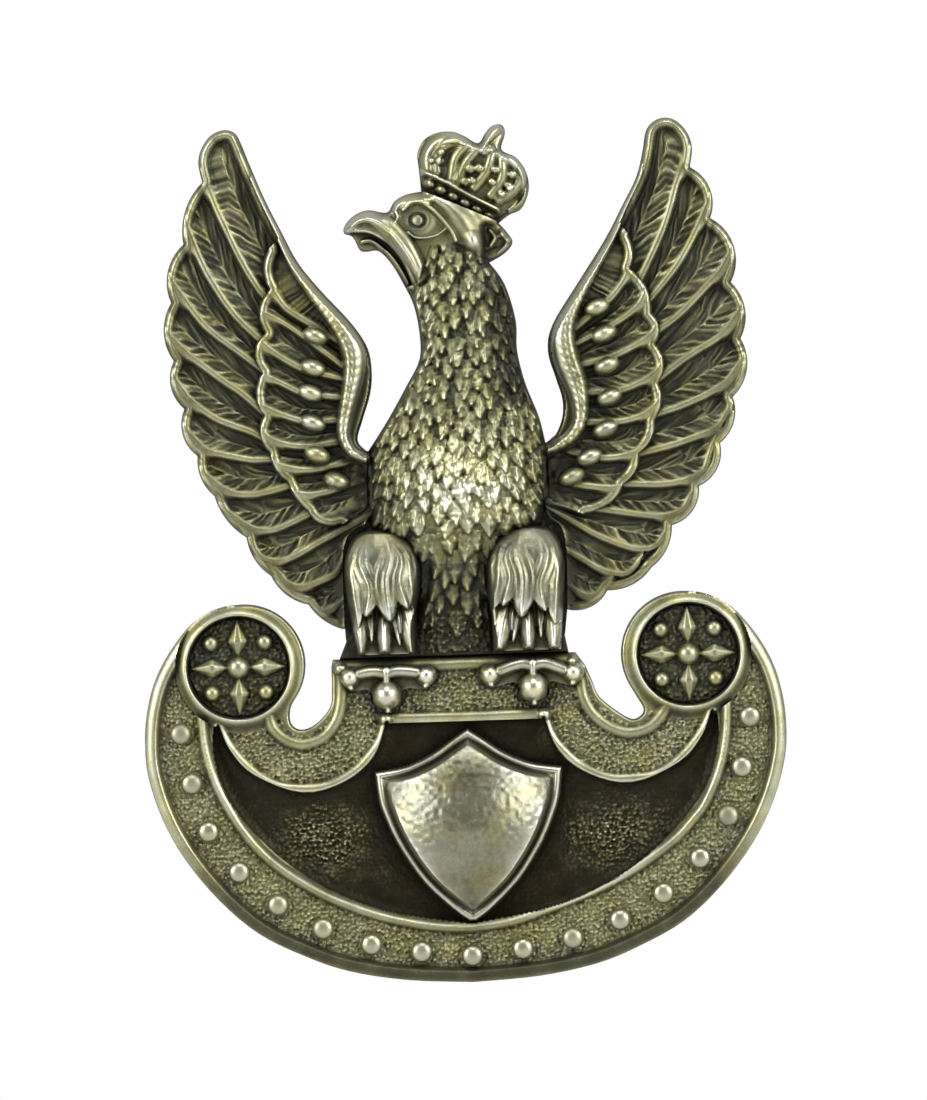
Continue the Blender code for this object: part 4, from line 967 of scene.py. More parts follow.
def make_escutcheon():
    top = spline(ESCUTCHEON_TOP)
    side = spline(ESCUTCHEON_SIDE)
    loop = [(x + ESCUTCHEON_X, z) for x, z in outline(top, side, mirrored(side), mirrored(top))]
    sheet = Sheet(loop, edge=1.15, climb=3.6)
    e = sheet.rim
    x, z = sheet.X - ESCUTCHEON_X, sheet.Z
    floor, radius, sunk = 1.85, 7.5, 5.0       # part of a ball, sunk into a flat floor
    ball = np.sqrt(np.clip(radius ** 2 - x ** 2 - (z + 12.6) ** 2, 0, None))
    border = 1.5 + 0.6 * round_over((e - 0.3) / 0.34, 0.6)
    inner = smooth((e - 0.42) / 0.4)
    sheet.h = np.maximum(border * (1 - inner), floor + np.maximum(ball - sunk, 0) * inner)
    sheet.h += 0.026 * value_noise(x, z, 0.27, 31) * inner + 0.02 * value_noise(x, z, 1.1, 32)
    sheet.wear_and_painted_light += 0.26 * bell((e - 0.62) / 0.32) - 0.08 * inner
    # Painted shade: the top of the dome, which faces upward, is darker, most of all in a band
    # across its top centre. The lower part is darker towards the bottom.
    sheet.wear_and_painted_light -= 0.14 * smooth((z + 9.9) / 1.2) * inner
    sheet.wear_and_painted_light -= 0.2 * bell((z + 10.0) / 1.5) * bell(x / 4.0) * inner
    sheet.wear_and_painted_light -= 0.12 * smooth(-(z + 14.5) / 2.5) * inner
    sheets["escutcheon_relief"] = (sheet, worn_silver)


# --------------------------------------------------------------------------------------------
# Eagle.

def make_torso():
    neck_left, neck_right = spline(NECK_LEFT), spline(NECK_RIGHT)
    loop = outline(neck_left, spline(SEAM_LEFT), BODY_FOOT, spline(SEAM_RIGHT), neck_right)
    sheet = Sheet(loop, edge=0.7, climb=4.6, free=[neck_left, neck_right, BODY_FOOT])
    lay_plumage(sheet)
    # Painted shade along the free edges of the neck and foot, and along the seams with the wings.
    sheet.wear_and_painted_light -= 0.5 * smooth(1 - sheet.rim / 0.5)
    for seam in (SEAM_LEFT, SEAM_RIGHT):
        sheet.wear_and_painted_light -= 0.4 * smooth(1 - sheet.measure(spline(seam))[0] / 0.5)
    under = sheet.contains_loop(np.array(TAIL_LOOP), 0.06)
    sheet.h = np.where(under, np.minimum(sheet.h, 1.5), sheet.h)
    sheets["torso_relief"] = (sheet, silver)


def lay_plumage(sheet):
    """Breast and neck feathers, the same on every piece that shows a part of them."""
    x, z = sheet.X, sheet.Z
    centre = np.interp(z, CHEST_Z, CHEST_CENTRE)
    half = np.interp(z, CHEST_Z, CHEST_HALF) + 0.2
    crest = np.interp(z, CHEST_Z, CHEST_CREST) - 0.35
    t = np.clip(np.abs(x - centre) / half, 0, 1)
    surface = 1.45 + (crest - 1.45) * np.sqrt(1 - t ** 2)
    sheet.h = surface - 0.05
    draw = np.random.default_rng(17)
    rows = []
    level = 22.6
    while level > -1.6:
        rows.append(level)
        level -= float(np.interp(level, (0, 4, 7, 14, 21), (0.75, 0.85, 0.62, 0.6, 0.62)))
    for number, level in reversed(list(enumerate(rows))):
        middle = float(np.interp(level, CHEST_Z, CHEST_CENTRE))
        width = float(np.interp(level, CHEST_Z, CHEST_HALF)) + 0.1
        pitch = float(np.interp(level, (3, 6, 12, 21), (1.05, 0.88, 0.84, 0.84)))
        count = int(width / pitch) + 2
        for place in range(-count, count + 1):
            dx = (place + 0.5 * (number % 2)) * pitch
            if abs(dx) > width:
                continue
            spread = dx / width
            tip_x = middle + width * math.sin(spread * 1.45) / math.sin(1.45)
            tip_x += float(draw.uniform(-0.22, 0.22))
            tip_z = level + float(draw.uniform(-0.3, 0.3)) - 0.4
            tip_z += 0.35 * spread ** 2
            size = pitch * float(draw.uniform(0.85, 1.3)) * (1 - 0.3 * abs(spread))
            lean = -0.32 * spread + float(draw.uniform(-0.28, 0.28))
            sheet.leaf(surface, (tip_x, tip_z), size * float(draw.uniform(1.4, 1.9)), size,
                       lean, float(draw.uniform(0.36, 0.54)), float(draw.uniform(0.45, 0.8)), 0.05)
    shallow = smooth((z - 2.0) / 3.0)
    sheet.h += (0.03 + 0.02 * shallow) * value_noise(x, z, 0.2, 16)
    sheet.wear_and_painted_light += 0.12 * shallow * value_noise(x, z, 0.4, 15)
    # Painted highlight across the middle of the breast, where its dome faces the lights, and
    # painted shade towards its flanks.
    breast = np.exp(-((x - 0.2) / 3.8) ** 2 - ((z - 7.2) / 3.2) ** 2)
    sheet.wear_and_painted_light += 0.42 * breast - 0.08 - 0.25 * smooth((np.abs(x - centre) / half - 0.62) / 0.35)
    sheet.wear_and_painted_light -= 0.5 * smooth((x - centre - 0.9) / half / 0.5) * smooth((z - 11.0) / 3.0)
    sheet.h += 0.03 * value_noise(x, z, 0.3, 18) + 0.05 * value_noise(x, z, 0.8, 19)


def make_head():
    around = spline(HEAD_LOOP)
    nape = spline(HEAD_NAPE)
    sheet = Sheet(outline(around, nape), edge=0.9, climb=3.2, free=[around, nape])
    lay_plumage(sheet)
    plumage = sheet.h
    x, z = sheet.X, sheet.Z
    skull = np.sqrt(np.clip(1 - ((x + 0.2) / 4.4) ** 2 - ((z - 22.5) / 4.0) ** 2, 0, 1))
    beak = np.sqrt(np.clip(1 - ((x + 4.4) / 2.6) ** 2 - ((z - 23.0) / 1.9) ** 2, 0, 1))
    surface = 1.45 + np.maximum(1.75 * skull, 1.15 * beak)
    mouth = [(-5.5, 22.9), (-4.7, 22.75), (-3.7, 22.1), (-2.9, 21.1), (-2.45, 20.1), (-2.2, 19.4)]
    d, _, side = sheet.measure(extended(spline(mouth, 5), 1.0))
    below = np.where(side < 0, smooth(d / 0.12), 0.0)
    sheet.h = surface - 0.95 * below
    # lower mandible under the dark gap of the mouth
    sheet.stroke([(-5.3, 22.3, 0.2), (-4.8, 22.35, 0.22), (-4.3, 22.05, 0.22),
                  (-3.55, 21.35, 0.22), (-2.95, 20.4, 0.2), (-2.6, 19.7, 0.2)], 0, 0.45)
    base = sheet.h.copy()
    # upper beak: a rounded band from the hook to the corner of the mouth
    sheet.stroke([(-6.3, 22.75, 0.2), (-6.05, 23.25, 0.34), (-5.5, 23.7, 0.42),
                  (-4.7, 23.75, 0.5), (-3.85, 23.2, 0.62), (-3.0, 22.3, 0.6),
                  (-2.4, 21.4, 0.52), (-1.95, 20.5, 0.42), (-1.8, 19.9, 0.3)],
                 0, 0.62, base, 0.55)
    sheet.stroke([(-6.0, 22.85), (-5.65, 23.4), (-5.1, 23.55), (-4.35, 23.35), (-3.6, 22.75),
                  (-3.05, 22.05), (-2.5, 21.2), (-2.15, 20.4)], 0.26, 0.16)
    # cere corner and eyebrow
    sheet.stroke([(-3.7, 23.95, 0.3), (-3.3, 24.3, 0.35), (-2.7, 24.6, 0.35),
                  (-2.0, 24.75, 0.35), (-1.2, 24.6, 0.35)], 0, 0.35)
    sheet.stroke([(-3.25, 24.05), (-3.1, 23.7), (-3.2, 23.4)], 0.16, 0.3)
    # eye socket, ball and lids
    eye = (-1.93, 23.42)
    r = np.hypot((x - eye[0]) / 1.25, z - eye[1])
    sheet.h -= 0.42 * bell(r / 0.95)
    sheet.h += 0.07 * bell((r - 0.52) / 0.16)
    sheet.bead(*eye, 0.4, 0.42)
    sheet.stroke([(-2.75, 24.1), (-2.3, 24.45), (-1.7, 24.48), (-1.0, 24.05), (-0.45, 23.45),
                  (0.1, 22.7), (0.35, 22.1)], 0.26, 0.34)
    sheet.stroke([(-2.5, 22.75), (-2.1, 22.4), (-1.4, 22.35), (-0.75, 22.5), (-0.3, 22.8)],
                 0.14, 0.3)
    sheet.stroke([(-0.9, 24.75, 0.4), (0.0, 24.2, 0.65), (0.7, 23.4, 0.85), (1.1, 22.7, 0.85),
                  (1.4, 22.0, 0.7)], 0, 0.36)
    sheet.bead(1.45, 21.95, 0.8, 0.3, power=1.2)
    # feathers of the cheek and nape
    surface = sheet.h.copy()
    for tip_x, tip_z, size, lean in ((2.3, 21.6, 0.8, 0.8), (2.75, 22.2, 0.8, 1.0),
                                     (3.3, 21.95, 0.7, 0.9), (2.9, 22.6, 0.7, 1.2)):
        sheet.leaf(surface, (tip_x, tip_z), size * 1.5, size, lean, 0.34)
    face = smooth((np.interp(x, (-2.6, -2.1, -1.7, -1.2, 0.4, 1.6, 2.6),
                             (19.3, 20.2, 21.2, 22.0, 22.1, 21.4, 20.9)) - z) / 0.3)
    side = smooth((x - np.interp(z, (19.2, 20.0, 21.0, 22.0), (-2.5, -1.95, -1.6, -1.3))) / 0.2)
    face = 1 - face * side
    sheet.h = plumage * (1 - face) + sheet.h * face
    sheet.wear_and_painted_light *= 1 - face
    back_of_head = smooth((x - 1.7) / 0.5) * smooth((23.4 - z) / 0.5) * smooth((z - 20.7) / 0.4)
    sheet.h -= 0.5 * back_of_head
    sheet.wear_and_painted_light -= 0.32 * back_of_head
    sheet.stroke([(2.2, 21.6, 0.2), (2.7, 22.2, 0.26), (2.4, 22.7, 0.2)], 0, 0.3)
    sheet.stroke([(2.9, 21.3, 0.2), (3.4, 21.9, 0.24), (3.1, 22.5, 0.2)], 0, 0.3)
    sheet.h += 0.012 * value_noise(x, z, 0.4, 41)
    sheets["head_relief"] = (sheet, silver)


def make_crown():
    around = spline(CROWN_LOOP)
    sheet = Sheet(around, edge=0.9, climb=3.2, free=[around])
    x, z = sheet.X, sheet.Z
    tilt = math.radians(-30)
    dx, dz = x - 1.5, z - 26.4
    u = dx * math.cos(tilt) + dz * math.sin(tilt)
    v = -dx * math.sin(tilt) + dz * math.cos(tilt)
    bulge = np.sqrt(np.clip(1 - (u / 3.3) ** 2 - (v / 3.1) ** 2, 0, 1))
    sheet.h = 1.35 + 1.35 * bulge
    sheet.wear_and_painted_light += 0.02
    lines = [
        [(-1.25, 26.4), (-1.25, 27.4), (-0.5, 28.2), (0.9, 28.2), (1.8, 27.9)],
        [(-0.7, 26.3), (-0.65, 27.2), (0.05, 27.95), (1.0, 28.1)],
        [(0.2, 25.9), (0.45, 27.1), (1.15, 27.8), (1.75, 27.9)],
        [(0.6, 25.7), (1.1, 26.8), (1.85, 27.6)],
        [(1.55, 25.3), (2.3, 26.2), (2.7, 27.3)],
        [(2.55, 24.8), (3.25, 25.8), (3.3, 27.2)],
        [(3.0, 24.5), (4.1, 25.2), (4.35, 26.2), (3.5, 27.2)],
    ]
    for path in lines:
        sheet.stroke(path, 0.36, 0.34, power=0.9)
    sheet.wear_and_painted_light += 0.04 * bell(v / 2.5)
    sheet.h -= 0.12 * bell((v + 0.5) / 1.6) * bulge
    for bx, bz, radius in ((-0.45, 26.95, 0.22), (-0.35, 27.45, 0.2), (1.35, 26.4, 0.24),
                           (1.85, 26.45, 0.24), (1.05, 25.65, 0.24), (1.4, 25.75, 0.2),
                           (3.85, 26.0, 0.22), (3.65, 25.3, 0.24), (2.2, 27.45, 0.24),
                           (2.6, 27.6, 0.22), (-1.0, 27.0, 0.16), (2.85, 26.3, 0.2),
                           (2.6, 25.6, 0.2), (3.2, 24.9, 0.2)):
        sheet.bead(bx, bz, radius * 1.3, 0.42)
    sheet.stroke([(-1.65, 26.35), (-0.3, 25.75), (1.2, 24.85), (2.9, 23.95)], 0.26, 0.6)
    for step in range(6):
        sheet.bead(-1.15 + 0.7 * step, 25.62 - 0.42 * step, 0.3, 0.42, stretch=1.25, turn=-0.5)
    sheet.stroke([(2.2, 27.9, 0.3), (2.6, 28.35, 0.35), (3.05, 28.8, 0.42)], 0, 0.6)
    sheet.stroke([(3.6, 23.9, 0.2), (4.4, 24.5, 0.25), (4.6, 25.4, 0.25), (4.3, 26.4, 0.22)],
                 0, 0.4)
    sheets["crown_relief"] = (sheet, silver)


def lay_feathers(sheet, lines, hand, base, rise, crest, barb, pitch, rachis=0.5, seed=0):
    """Overlapping feathers between border lines, listed from the top one down.

    Each feather climbs by rise across its width to a crest on its own line and falls away
    beyond it onto the next one. hand is +1 where a line's left side is its own feather. barb
    and pitch are the height and spacing of the vane's streaks, and rachis says how far across
    the feather its quill lies."""
    fields = []
    for line in lines:
        distance, along, side = sheet.measure(extended(spline(line, 4)))
        fields.append((distance * side * hand, along))
    count = len(lines)
    edge_distance = sheet.rim
    for number in range(count, -1, -1):
        if number < count:
            own, along = fields[number]
        else:
            own, along = edge_distance + 0.15, fields[number - 1][1]
        upper = -fields[number - 1][0] if number else edge_distance
        upper = np.maximum(upper, 0.0)
        width = np.maximum(own, 0) + upper + 1e-3
        u = upper / width
        height = base + rise * smooth((u - 0.1) / 0.85) ** 1.6
        height += crest * bell((own - 0.14) / 0.5)
        if number:
            flank = (1 - smooth(upper / (0.3 + 1.0 * smooth(1 - edge_distance / 1.3)))) ** 1.3
            height = np.maximum(height, base + (rise + 0.85 * crest) * flank)
        quill = (u - rachis) * width
        env = smooth((own - 0.3) / 0.2) * smooth((upper - 0.14) / 0.15)
        lower = smooth((quill + 0.12) / 0.2)
        shaken = 0.05 * value_noise(sheet.X, sheet.Z, 0.6, 51 + number)
        across = 0.52 * along + 0.85 * quill + shaken
        lengthwise = 0.85 * along - 0.52 * quill
        barbs = value_noise(lengthwise / 1.2, across / (0.45 * pitch), 1.0, 71 + number + seed)
        barbs = 0.9 * barbs + 0.3 * np.sin(math.tau * across / pitch)
        drawn = (0.25 * along - quill + shaken) / (0.4 * pitch)
        streaks = value_noise(along / 1.4, drawn, 1.0, 91 + number + seed)
        streaks = barbs * lower + 0.95 * streaks * (1 - lower)
        height += env * barb * streaks * (0.7 + 0.3 * lower)
        height += env * 0.9 * barb * bell(quill / 0.13)
        # The upper half of each vane, tucked under the feather above, is darkened further: painted
        # shade.
        wear_and_painted_light = env * (0.2 * streaks - 0.12 - 0.08 * (1 - lower) + 0.05 * bell(quill / 0.12))
        wear_and_painted_light = wear_and_painted_light - 0.1 * bell((own - 0.1) / 0.5)
        mine = own >= 0
        sheet.h = np.where(mine, height, sheet.h)
        sheet.wear_and_painted_light = np.where(mine, wear_and_painted_light, sheet.wear_and_painted_light)


def outer_edges(loop, seam):
    """The runs of a loop that don't lie on the seam."""
    seam = np.array(seam)
    runs, run = [], []
    for point in loop + loop[:1]:
        gap = np.hypot(seam[:, 0] - point[0], seam[:, 1] - point[1]).min()
        if gap > 1e-6:
            run.append(point)
        else:
            if len(run) > 1:
                runs.append(run)
            run = []
    if len(run) > 1:
        runs.append(run)
    return runs


def lay_leading_edge(sheet, path, hand, base, hammered=True):
    """Rounded ridge along the front of the wing, hammered, with a plain outer flank darkened by
    painted shade.
    """
    distance, _, side = sheet.measure(extended(spline(path, 4)))
    flank = smooth(distance * side * hand / 0.15)
    sheet.h = sheet.h * (1 - flank) + (base - 0.12) * flank
    # Painted shade on the flank, darker away from the ridge.
    sheet.wear_and_painted_light = sheet.wear_and_painted_light * (1 - flank) - 0.3 * flank * smooth((distance - 0.5) / 0.3)
    sheet.stroke(path, 0, 0.95, base, 0.5)
    flat = np.array(spline(path, 6))
    lengths = travel(flat)
    travelled = 2.4
    while hammered and travelled < lengths[-1] - 0.4:
        x, z, half = (float(np.interp(travelled, lengths, flat[:, k])) for k in range(3))
        ahead = [float(np.interp(travelled + 0.1, lengths, flat[:, k])) for k in range(2)]
        dx, dz = ahead[0] - x, ahead[1] - z
        size = math.hypot(dx, dz)
        nx, nz = -dz / size * hand, dx / size * hand
        turn = math.atan2(dz, dx)
        if half > 0.34:
            sheet.bead(x - nx * half * 0.6, z - nz * half * 0.6, 0.19 + 0.1 * half, 0.1,
                       stretch=1.3, turn=turn + 0.5, power=1.3)
            sheet.bead(x + nx * half * 0.12, z + nz * half * 0.12, 0.2, 0.05,
                       stretch=1.5, turn=turn + 0.9, power=1.4)
        travelled += 0.5


WINGS = {
    # hand, seam, tip, scallops, inner edge, feathers, covert scallops, covert edge and feathers
    "left": (1, spline(SEAM_LEFT), WING_LEFT_TIP, WING_LEFT_SCALLOPS, WING_LEFT_INNER,
             FEATHERS_LEFT, COVERTS_LEFT_SCALLOPS, COVERTS_LEFT_INNER, COVERT_LINES_LEFT,
             EDGE_LEFT, KNOBS_LEFT),
    "right": (-1, spline(SEAM_RIGHT), WING_RIGHT_TIP, WING_RIGHT_SCALLOPS, WING_RIGHT_INNER,
              FEATHERS_RIGHT, COVERTS_RIGHT_SCALLOPS, COVERTS_RIGHT_INNER, COVERT_LINES_RIGHT,
              EDGE_RIGHT, KNOBS_RIGHT),
}


def make_wings():
    for name, (hand, seam, tip, rim, inner, lines, covert_rim, covert_inner, covert_lines, edge,
               knobs) in WINGS.items():
        loop = outline(spline(tip), scallops(rim), seam[::-hand], spline(inner))
        wing = Sheet(loop, edge=PLATE_EDGE, climb=3.4, free=outer_edges(loop, seam))
        base = 1.2 + 0.12 * np.minimum(wing.rim, 3.0)
        lay_feathers(wing, lines, hand, base, 0.28, 0.28, 0.1, 0.34, seed=3)
        wing.h = np.maximum(wing.h, 1.3 + 0.5 * round_over((wing.rim - 0.36) / 0.42, 1.2))
        wing.wear_and_painted_light -= 0.08 * smooth((0.9 - wing.rim) / 0.3)
        beside = wing.measure(seam)[0]
        wing.h = np.maximum(wing.h, 1.9 - 0.8 * beside)
        # Painted shade beside the seam with the breast.
        wing.wear_and_painted_light -= 0.25 * np.exp(-(beside / 1.1) ** 2)
        lay_leading_edge(wing, edge, hand, 1.45, hammered=False)

        tips = scallops(covert_rim)
        coverts = Sheet(outline(tips, spline(covert_inner)), edge=1.35, climb=2.6, free=[tips])
        under = wing.contains_loop(coverts.loop)
        wing.h = np.where(under, np.minimum(wing.h, 1.4), wing.h)
        lay_feathers(coverts, covert_lines, hand, 1.75, 0.3, 0.32, 0.09, 0.32, seed=23)
        tucked = np.exp(-(coverts.measure(seam)[0] / 1.5) ** 2)
        ragged = 1.85 + 0.16 * value_noise(coverts.X, coverts.Z, 0.4, 29)
        coverts.h = coverts.h * (1 - tucked) + ragged * tucked
        # Painted shade where the coverts tuck in beside the breast.
        coverts.wear_and_painted_light += 0.05 - 0.4 * tucked
        brim = coverts.measure(tips)[0]
        coverts.h = np.maximum(coverts.h, 1.7 + 0.62 * round_over((brim - 0.34) / 0.42, 0.7))
        for x, z in knobs:
            coverts.bead(x, z, 0.52, 0.7, 2.15, stretch=1.6, turn=-0.35 * hand, power=0.6)
        lay_leading_edge(coverts, edge, hand, 2.0)
        front = coverts.measure(spline(inner))[0]
        coverts.h = np.minimum(coverts.h, wing.edge + wing.climb * np.sqrt(front))
        sheets[f"wing_{name}_relief"] = (wing, silver)
        sheets[f"coverts_{name}_relief"] = (coverts, silver)


LOCKS = [
    # layer, path of (dx, z), width, lift
    (0, [(-0.1, 1.2), (0.0, -0.6), (0.0, -3.2)], 1.0, 0.8),
    (0, [(-1.1, 1.2), (-1.45, -0.6), (-1.5, -3.0)], 1.1, 0.62),
    (0, [(0.9, 1.3), (1.4, -0.6), (1.95, -3.0)], 1.2, 0.66),
    (0, [(1.6, 1.4), (2.1, -0.2), (2.35, -1.7)], 0.9, 0.55),
    (0, [(0.3, 1.2), (0.65, -0.6), (0.95, -2.0)], 0.7, 0.5),
    (0, [(-0.4, 1.2), (-0.7, -0.4), (-0.75, -1.8)], 0.7, 0.5),
    (0, [(0.6, 0.9), (0.9, -0.4), (1.0, -1.3)], 0.6, 0.6),
    (0, [(-0.7, 0.6), (-0.9, -0.4), (-0.75, -1.2)], 0.5, 0.5),
    (0, [(-1.9, 1.4), (-2.15, 0.2), (-1.95, -0.9)], 0.7, 0.6),
    (1, [(1.5, 3.6), (2.15, 2.6), (2.35, 1.5), (2.6, 0.5)], 1.3, 0.26),
    (1, [(-1.6, 3.6), (-2.25, 2.4), (-2.3, 0.9), (-2.2, -0.5)], 1.3, 0.26),
    (1, [(0.9, 4.1), (1.6, 3.0), (1.75, 1.5), (2.3, -0.1)], 1.6, 0.3),
    (1, [(-1.0, 4.2), (-1.85, 2.8), (-1.8, 1.0), (-1.6, -1.0)], 1.6, 0.3),
    (1, [(0.5, 4.3), (1.2, 3.2), (1.0, 1.8), (1.5, 0.2)], 1.6, 0.34),
    (1, [(-0.9, 4.5), (-1.3, 3.1), (-0.75, 1.4), (-1.05, -0.2)], 1.6, 0.36),
    (1, [(0.3, 4.6), (0.5, 3.3), (0.15, 1.8), (0.4, -0.5)], 1.9, 0.4),
]


def lay_lock(sheet, surface, path, width, lift):
    """One tapered lock of the thigh plumage, grooved along its length."""
    points = spline(path, 6)
    flat = np.array(points)
    part = sheet.window(flat.min(axis=0), flat.max(axis=0), width)
    view = sheet.cut(part)
    distance, along, side = view.measure(points)
    q = along / travel(flat)[-1]
    half = width / 2 * np.clip(0.55 + 1.6 * q, 0, 1) * np.clip((1 - q) / 0.4, 0, 1) ** 0.6
    t = distance / np.maximum(half, 1e-3)
    height = surface[part] + lift * (0.3 + 0.7 * smooth(q * 1.6)) * round_over(t, 0.8)
    groove = np.cos(math.tau * distance * side / 0.5) * smooth((1 - t) / 0.5)
    height += 0.035 * groove * smooth(q * 4)
    view.h[:] = np.where((t < 1) & (height > view.h), height, view.h)


def make_legs():
    """Both thighs with their locks, and the small feathers of the tail between them."""
    legs = {"left": (LEG_LEFT_LOOP, -4.7, 1), "right": (LEG_RIGHT_LOOP, 3.95, -1)}
    for name, (loop, middle, hand) in legs.items():
        sheet = Sheet(outline(spline(loop)), edge=1.5, climb=3.2)
        x, z = sheet.X, sheet.Z
        t = np.clip(np.abs(x - middle) / 2.7, 0, 1)
        v = np.where(z > 1.7, (z - 1.7) / 3.7, (1.7 - z) / 6.4)
        surface = 1.75 + 2.1 * np.sqrt(np.clip(1 - t ** 2 - v ** 2, 0, 1))
        sheet.h = 1.9 + (surface + 0.12 - 1.9) * smooth((z + 0.8) / 2.6)
        low = np.minimum(surface, 2.45)
        for layer, path, width, lift in LOCKS:
            placed = [(middle + hand * dx, lz) for dx, lz in path]
            lay_lock(sheet, surface if layer else low, placed, width, lift)
        sheet.h += 0.015 * value_noise(x, z, 0.3, 61)
        sheet.wear_and_painted_light += 0.16 * smooth((0.4 - z) / 1.2) - 0.17
        sheets[f"leg_{name}_relief"] = (sheet, worn_silver)

    tail = Sheet(TAIL_LOOP, edge=1.5, climb=2.4)
    tail.rim[:] = 9.0
    lay_plumage(tail)
    tail.h = np.maximum(tail.h, 1.6)
    tail.stipple(smooth((0.6 - tail.Z) / 1.5), 0.33, 0.17, 63)
    tail.wear_and_painted_light -= 0.1 * smooth((1.5 - tail.Z) / 3.0)
    sheets["tail_relief"] = (tail, shaded_silver)


def make_talons():
    feet = {
        "left": ((-4.65, -4.95, 0.8), (-6.85, -3.85, 0.5), (-2.25, -3.85, 0.5)),
        "right": ((4.15, -4.75, 0.8), (1.58, -3.9, 0.52), (6.58, -3.95, 0.5)),
    }
    for name, (middle, first, second) in feet.items():
        left, right = sorted((first, second))
        loop = [(left[0] - 0.68, left[1]), (left[0] - 0.3, -3.18), (middle[0], -2.95),
                (right[0] + 0.3, -3.18), (right[0] + 0.68, right[1]),
                (right[0], right[1] - 0.78), (middle[0] + 1.05, middle[1] + 0.3),
                (middle[0] + 0.72, middle[1] - 0.68), (middle[0], middle[1] - 1.12),
                (middle[0] - 0.72, middle[1] - 0.68), (middle[0] - 1.05, middle[1] + 0.3),
                (left[0], left[1] - 0.78)]
        sheet = Sheet(spline(loop, 6, closed=True), edge=1.5, climb=3.6)
        sheet.h[:] = 1.7
        top = middle[1] + 1.3
        for side in (left, right):
            lean = math.copysign(1.0, side[0] - middle[0])
            sheet.stroke([(middle[0] + 0.1 * lean, top, 0.46),
                          (middle[0] + 0.75 * lean, top + 0.12, 0.46),
                          (side[0] - 0.55 * lean, side[1] + 0.2, 0.44),
                          (side[0], side[1] - 0.05, 0.4),
                          (side[0] - 0.05 * lean, side[1] - 0.65, 0.28)], 0, 0.85, 1.6, 0.5)
            sheet.bead(side[0], side[1], 0.68, 1.15, 1.65)
        sheet.stroke([(middle[0], top + 0.2, 0.34), (middle[0], middle[1] + 0.6, 0.34),
                      (middle[0], middle[1], 0.36), (middle[0] + 0.05, middle[1] - 1.0, 0.24)],
                     0, 0.9, 1.6, 0.5)
        sheet.bead(middle[0], middle[1], 0.95, 1.4, 1.65)
        sheets[f"talons_{name}_relief"] = (sheet, worn_silver)


# --------------------------------------------------------------------------------------------
# Pieces.

make_rim()
make_field()
make_scrolls()
make_rosettes()
make_escutcheon()
make_torso()
make_wings()
make_legs()
make_talons()
make_head()
make_crown()

BACKGROUND = 1.0            # level taken round the badge when its edges are toned


def relief_tone():
    """One map of the whole face: dark in its hollows, bright on its heights, with each sheet's
    wear and painted light and shade added.
    """
    whole = np.full((ROWS, COLUMNS), BACKGROUND)
    painted_light_and_wear = np.zeros((ROWS, COLUMNS))
    for sheet, _ in sheets.values():
        sheet.close()
        part = (slice(sheet.row, sheet.row + sheet.X.shape[0]),
                slice(sheet.column, sheet.column + sheet.X.shape[1]))
        level = np.where(sheet.inside, sheet.h, 0)
        top = level > whole[part]
        whole[part] = np.where(top, level, whole[part])
        painted_light_and_wear[part] = np.where(top, sheet.wear_and_painted_light, painted_light_and_wear[part])
    tone = 0.40 + painted_light_and_wear
    for sigma, weight in ((0.14, 1.5), (0.42, 0.62), (1.1, 0.16)):
        tone += weight * (whole - blurred(whole, sigma))
    return np.clip(tone, -0.1, 1.2)


def hand_over(piece, node, body):
    """Says which body a piece rides, and hides the CAD node it stands for."""
    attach(piece, body)
    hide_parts(node)


BACKS = {"rosette": 0.95, "escutcheon": 1.06, "coverts": 1.3, "leg": 1.4, "talons": 1.4,
         "tail": 1.4}       # how far the backs of the upper elements stand off the back plane
tone = relief_tone()
for name, (sheet, finish) in sheets.items():
    family = name.split("_")[0]
    piece = build_relief(name, sheet, tone, finish, BACKS.get(family, 0.0))
    node = "pelta_plate" if family == "pelta" else name.removesuffix("_relief")
    hand_over(piece, node, "badge")

STUD = [(0.68, 1.45), (0.67, 1.62), (0.655, 1.76), (0.62, 1.9), (0.56, 2.01), (0.47, 2.1),
        (0.36, 2.155), (0.24, 2.19), (0.12, 2.205), (0.0, 2.21)]
for number, centre in enumerate(STUD_PLACES, 1):
    profile = [(0.0, -1.45)] + [(radius, -height) for radius, height in STUD]
    stud = build_turned(f"stud_{number:02d}_dome", profile, 40, centre, False, stud_silver)
    hand_over(stud, f"rim_stud_{number:02d}", "badge")

# --------------------------------------------------------------------------------------------
# Post, pins, washer and nut.

PITCH = 0.5
FIXING_GAP = 0.06           # between the flat back and the fixings on it
POST_RADIUS = 1.2
POST_END = 9.6
NUT_BORE = 1.33
NUT_RADIUS = 5.0
NUT_FRONT = 3.26
NUT_BACK = 6.26
KNURLS = 36
THREAD_STEP = 0.04


def thread(wall, depth, start, end, run_out):
    """A right-handed thread about +Y on the wall of the given radius, fading at its ends."""
    def wave(radius, y, angle):
        if abs(radius - wall) > 1e-3:
            return 0.0
        phase = (y / PITCH - angle / math.tau) % 1.0
        fade = np.clip(min(y - start, end - y) / run_out, 0.0, 1.0) if run_out else 1.0
        return depth * float(fade) * float(np.clip(1.35 - 2.7 * abs(phase - 0.5), 0.0, 1.0))
    return wave


def nut_wave(radius, y, angle):
    """Thread in the nut's bore and knurls round its outside."""
    if radius > NUT_RADIUS - 0.01:
        return -0.2 * (0.5 + 0.5 * math.cos(KNURLS * angle)) ** 0.7
    return nut_thread(radius, y, angle)


def add_fixing(name, node, profile, sides, body="badge",
               centre=(0.0, 0.0), finish=fixing_steel, closed=False, wave=None):
    piece = build_turned(name, profile, sides, centre, closed, finish, wave)
    hand_over(piece, node, body)


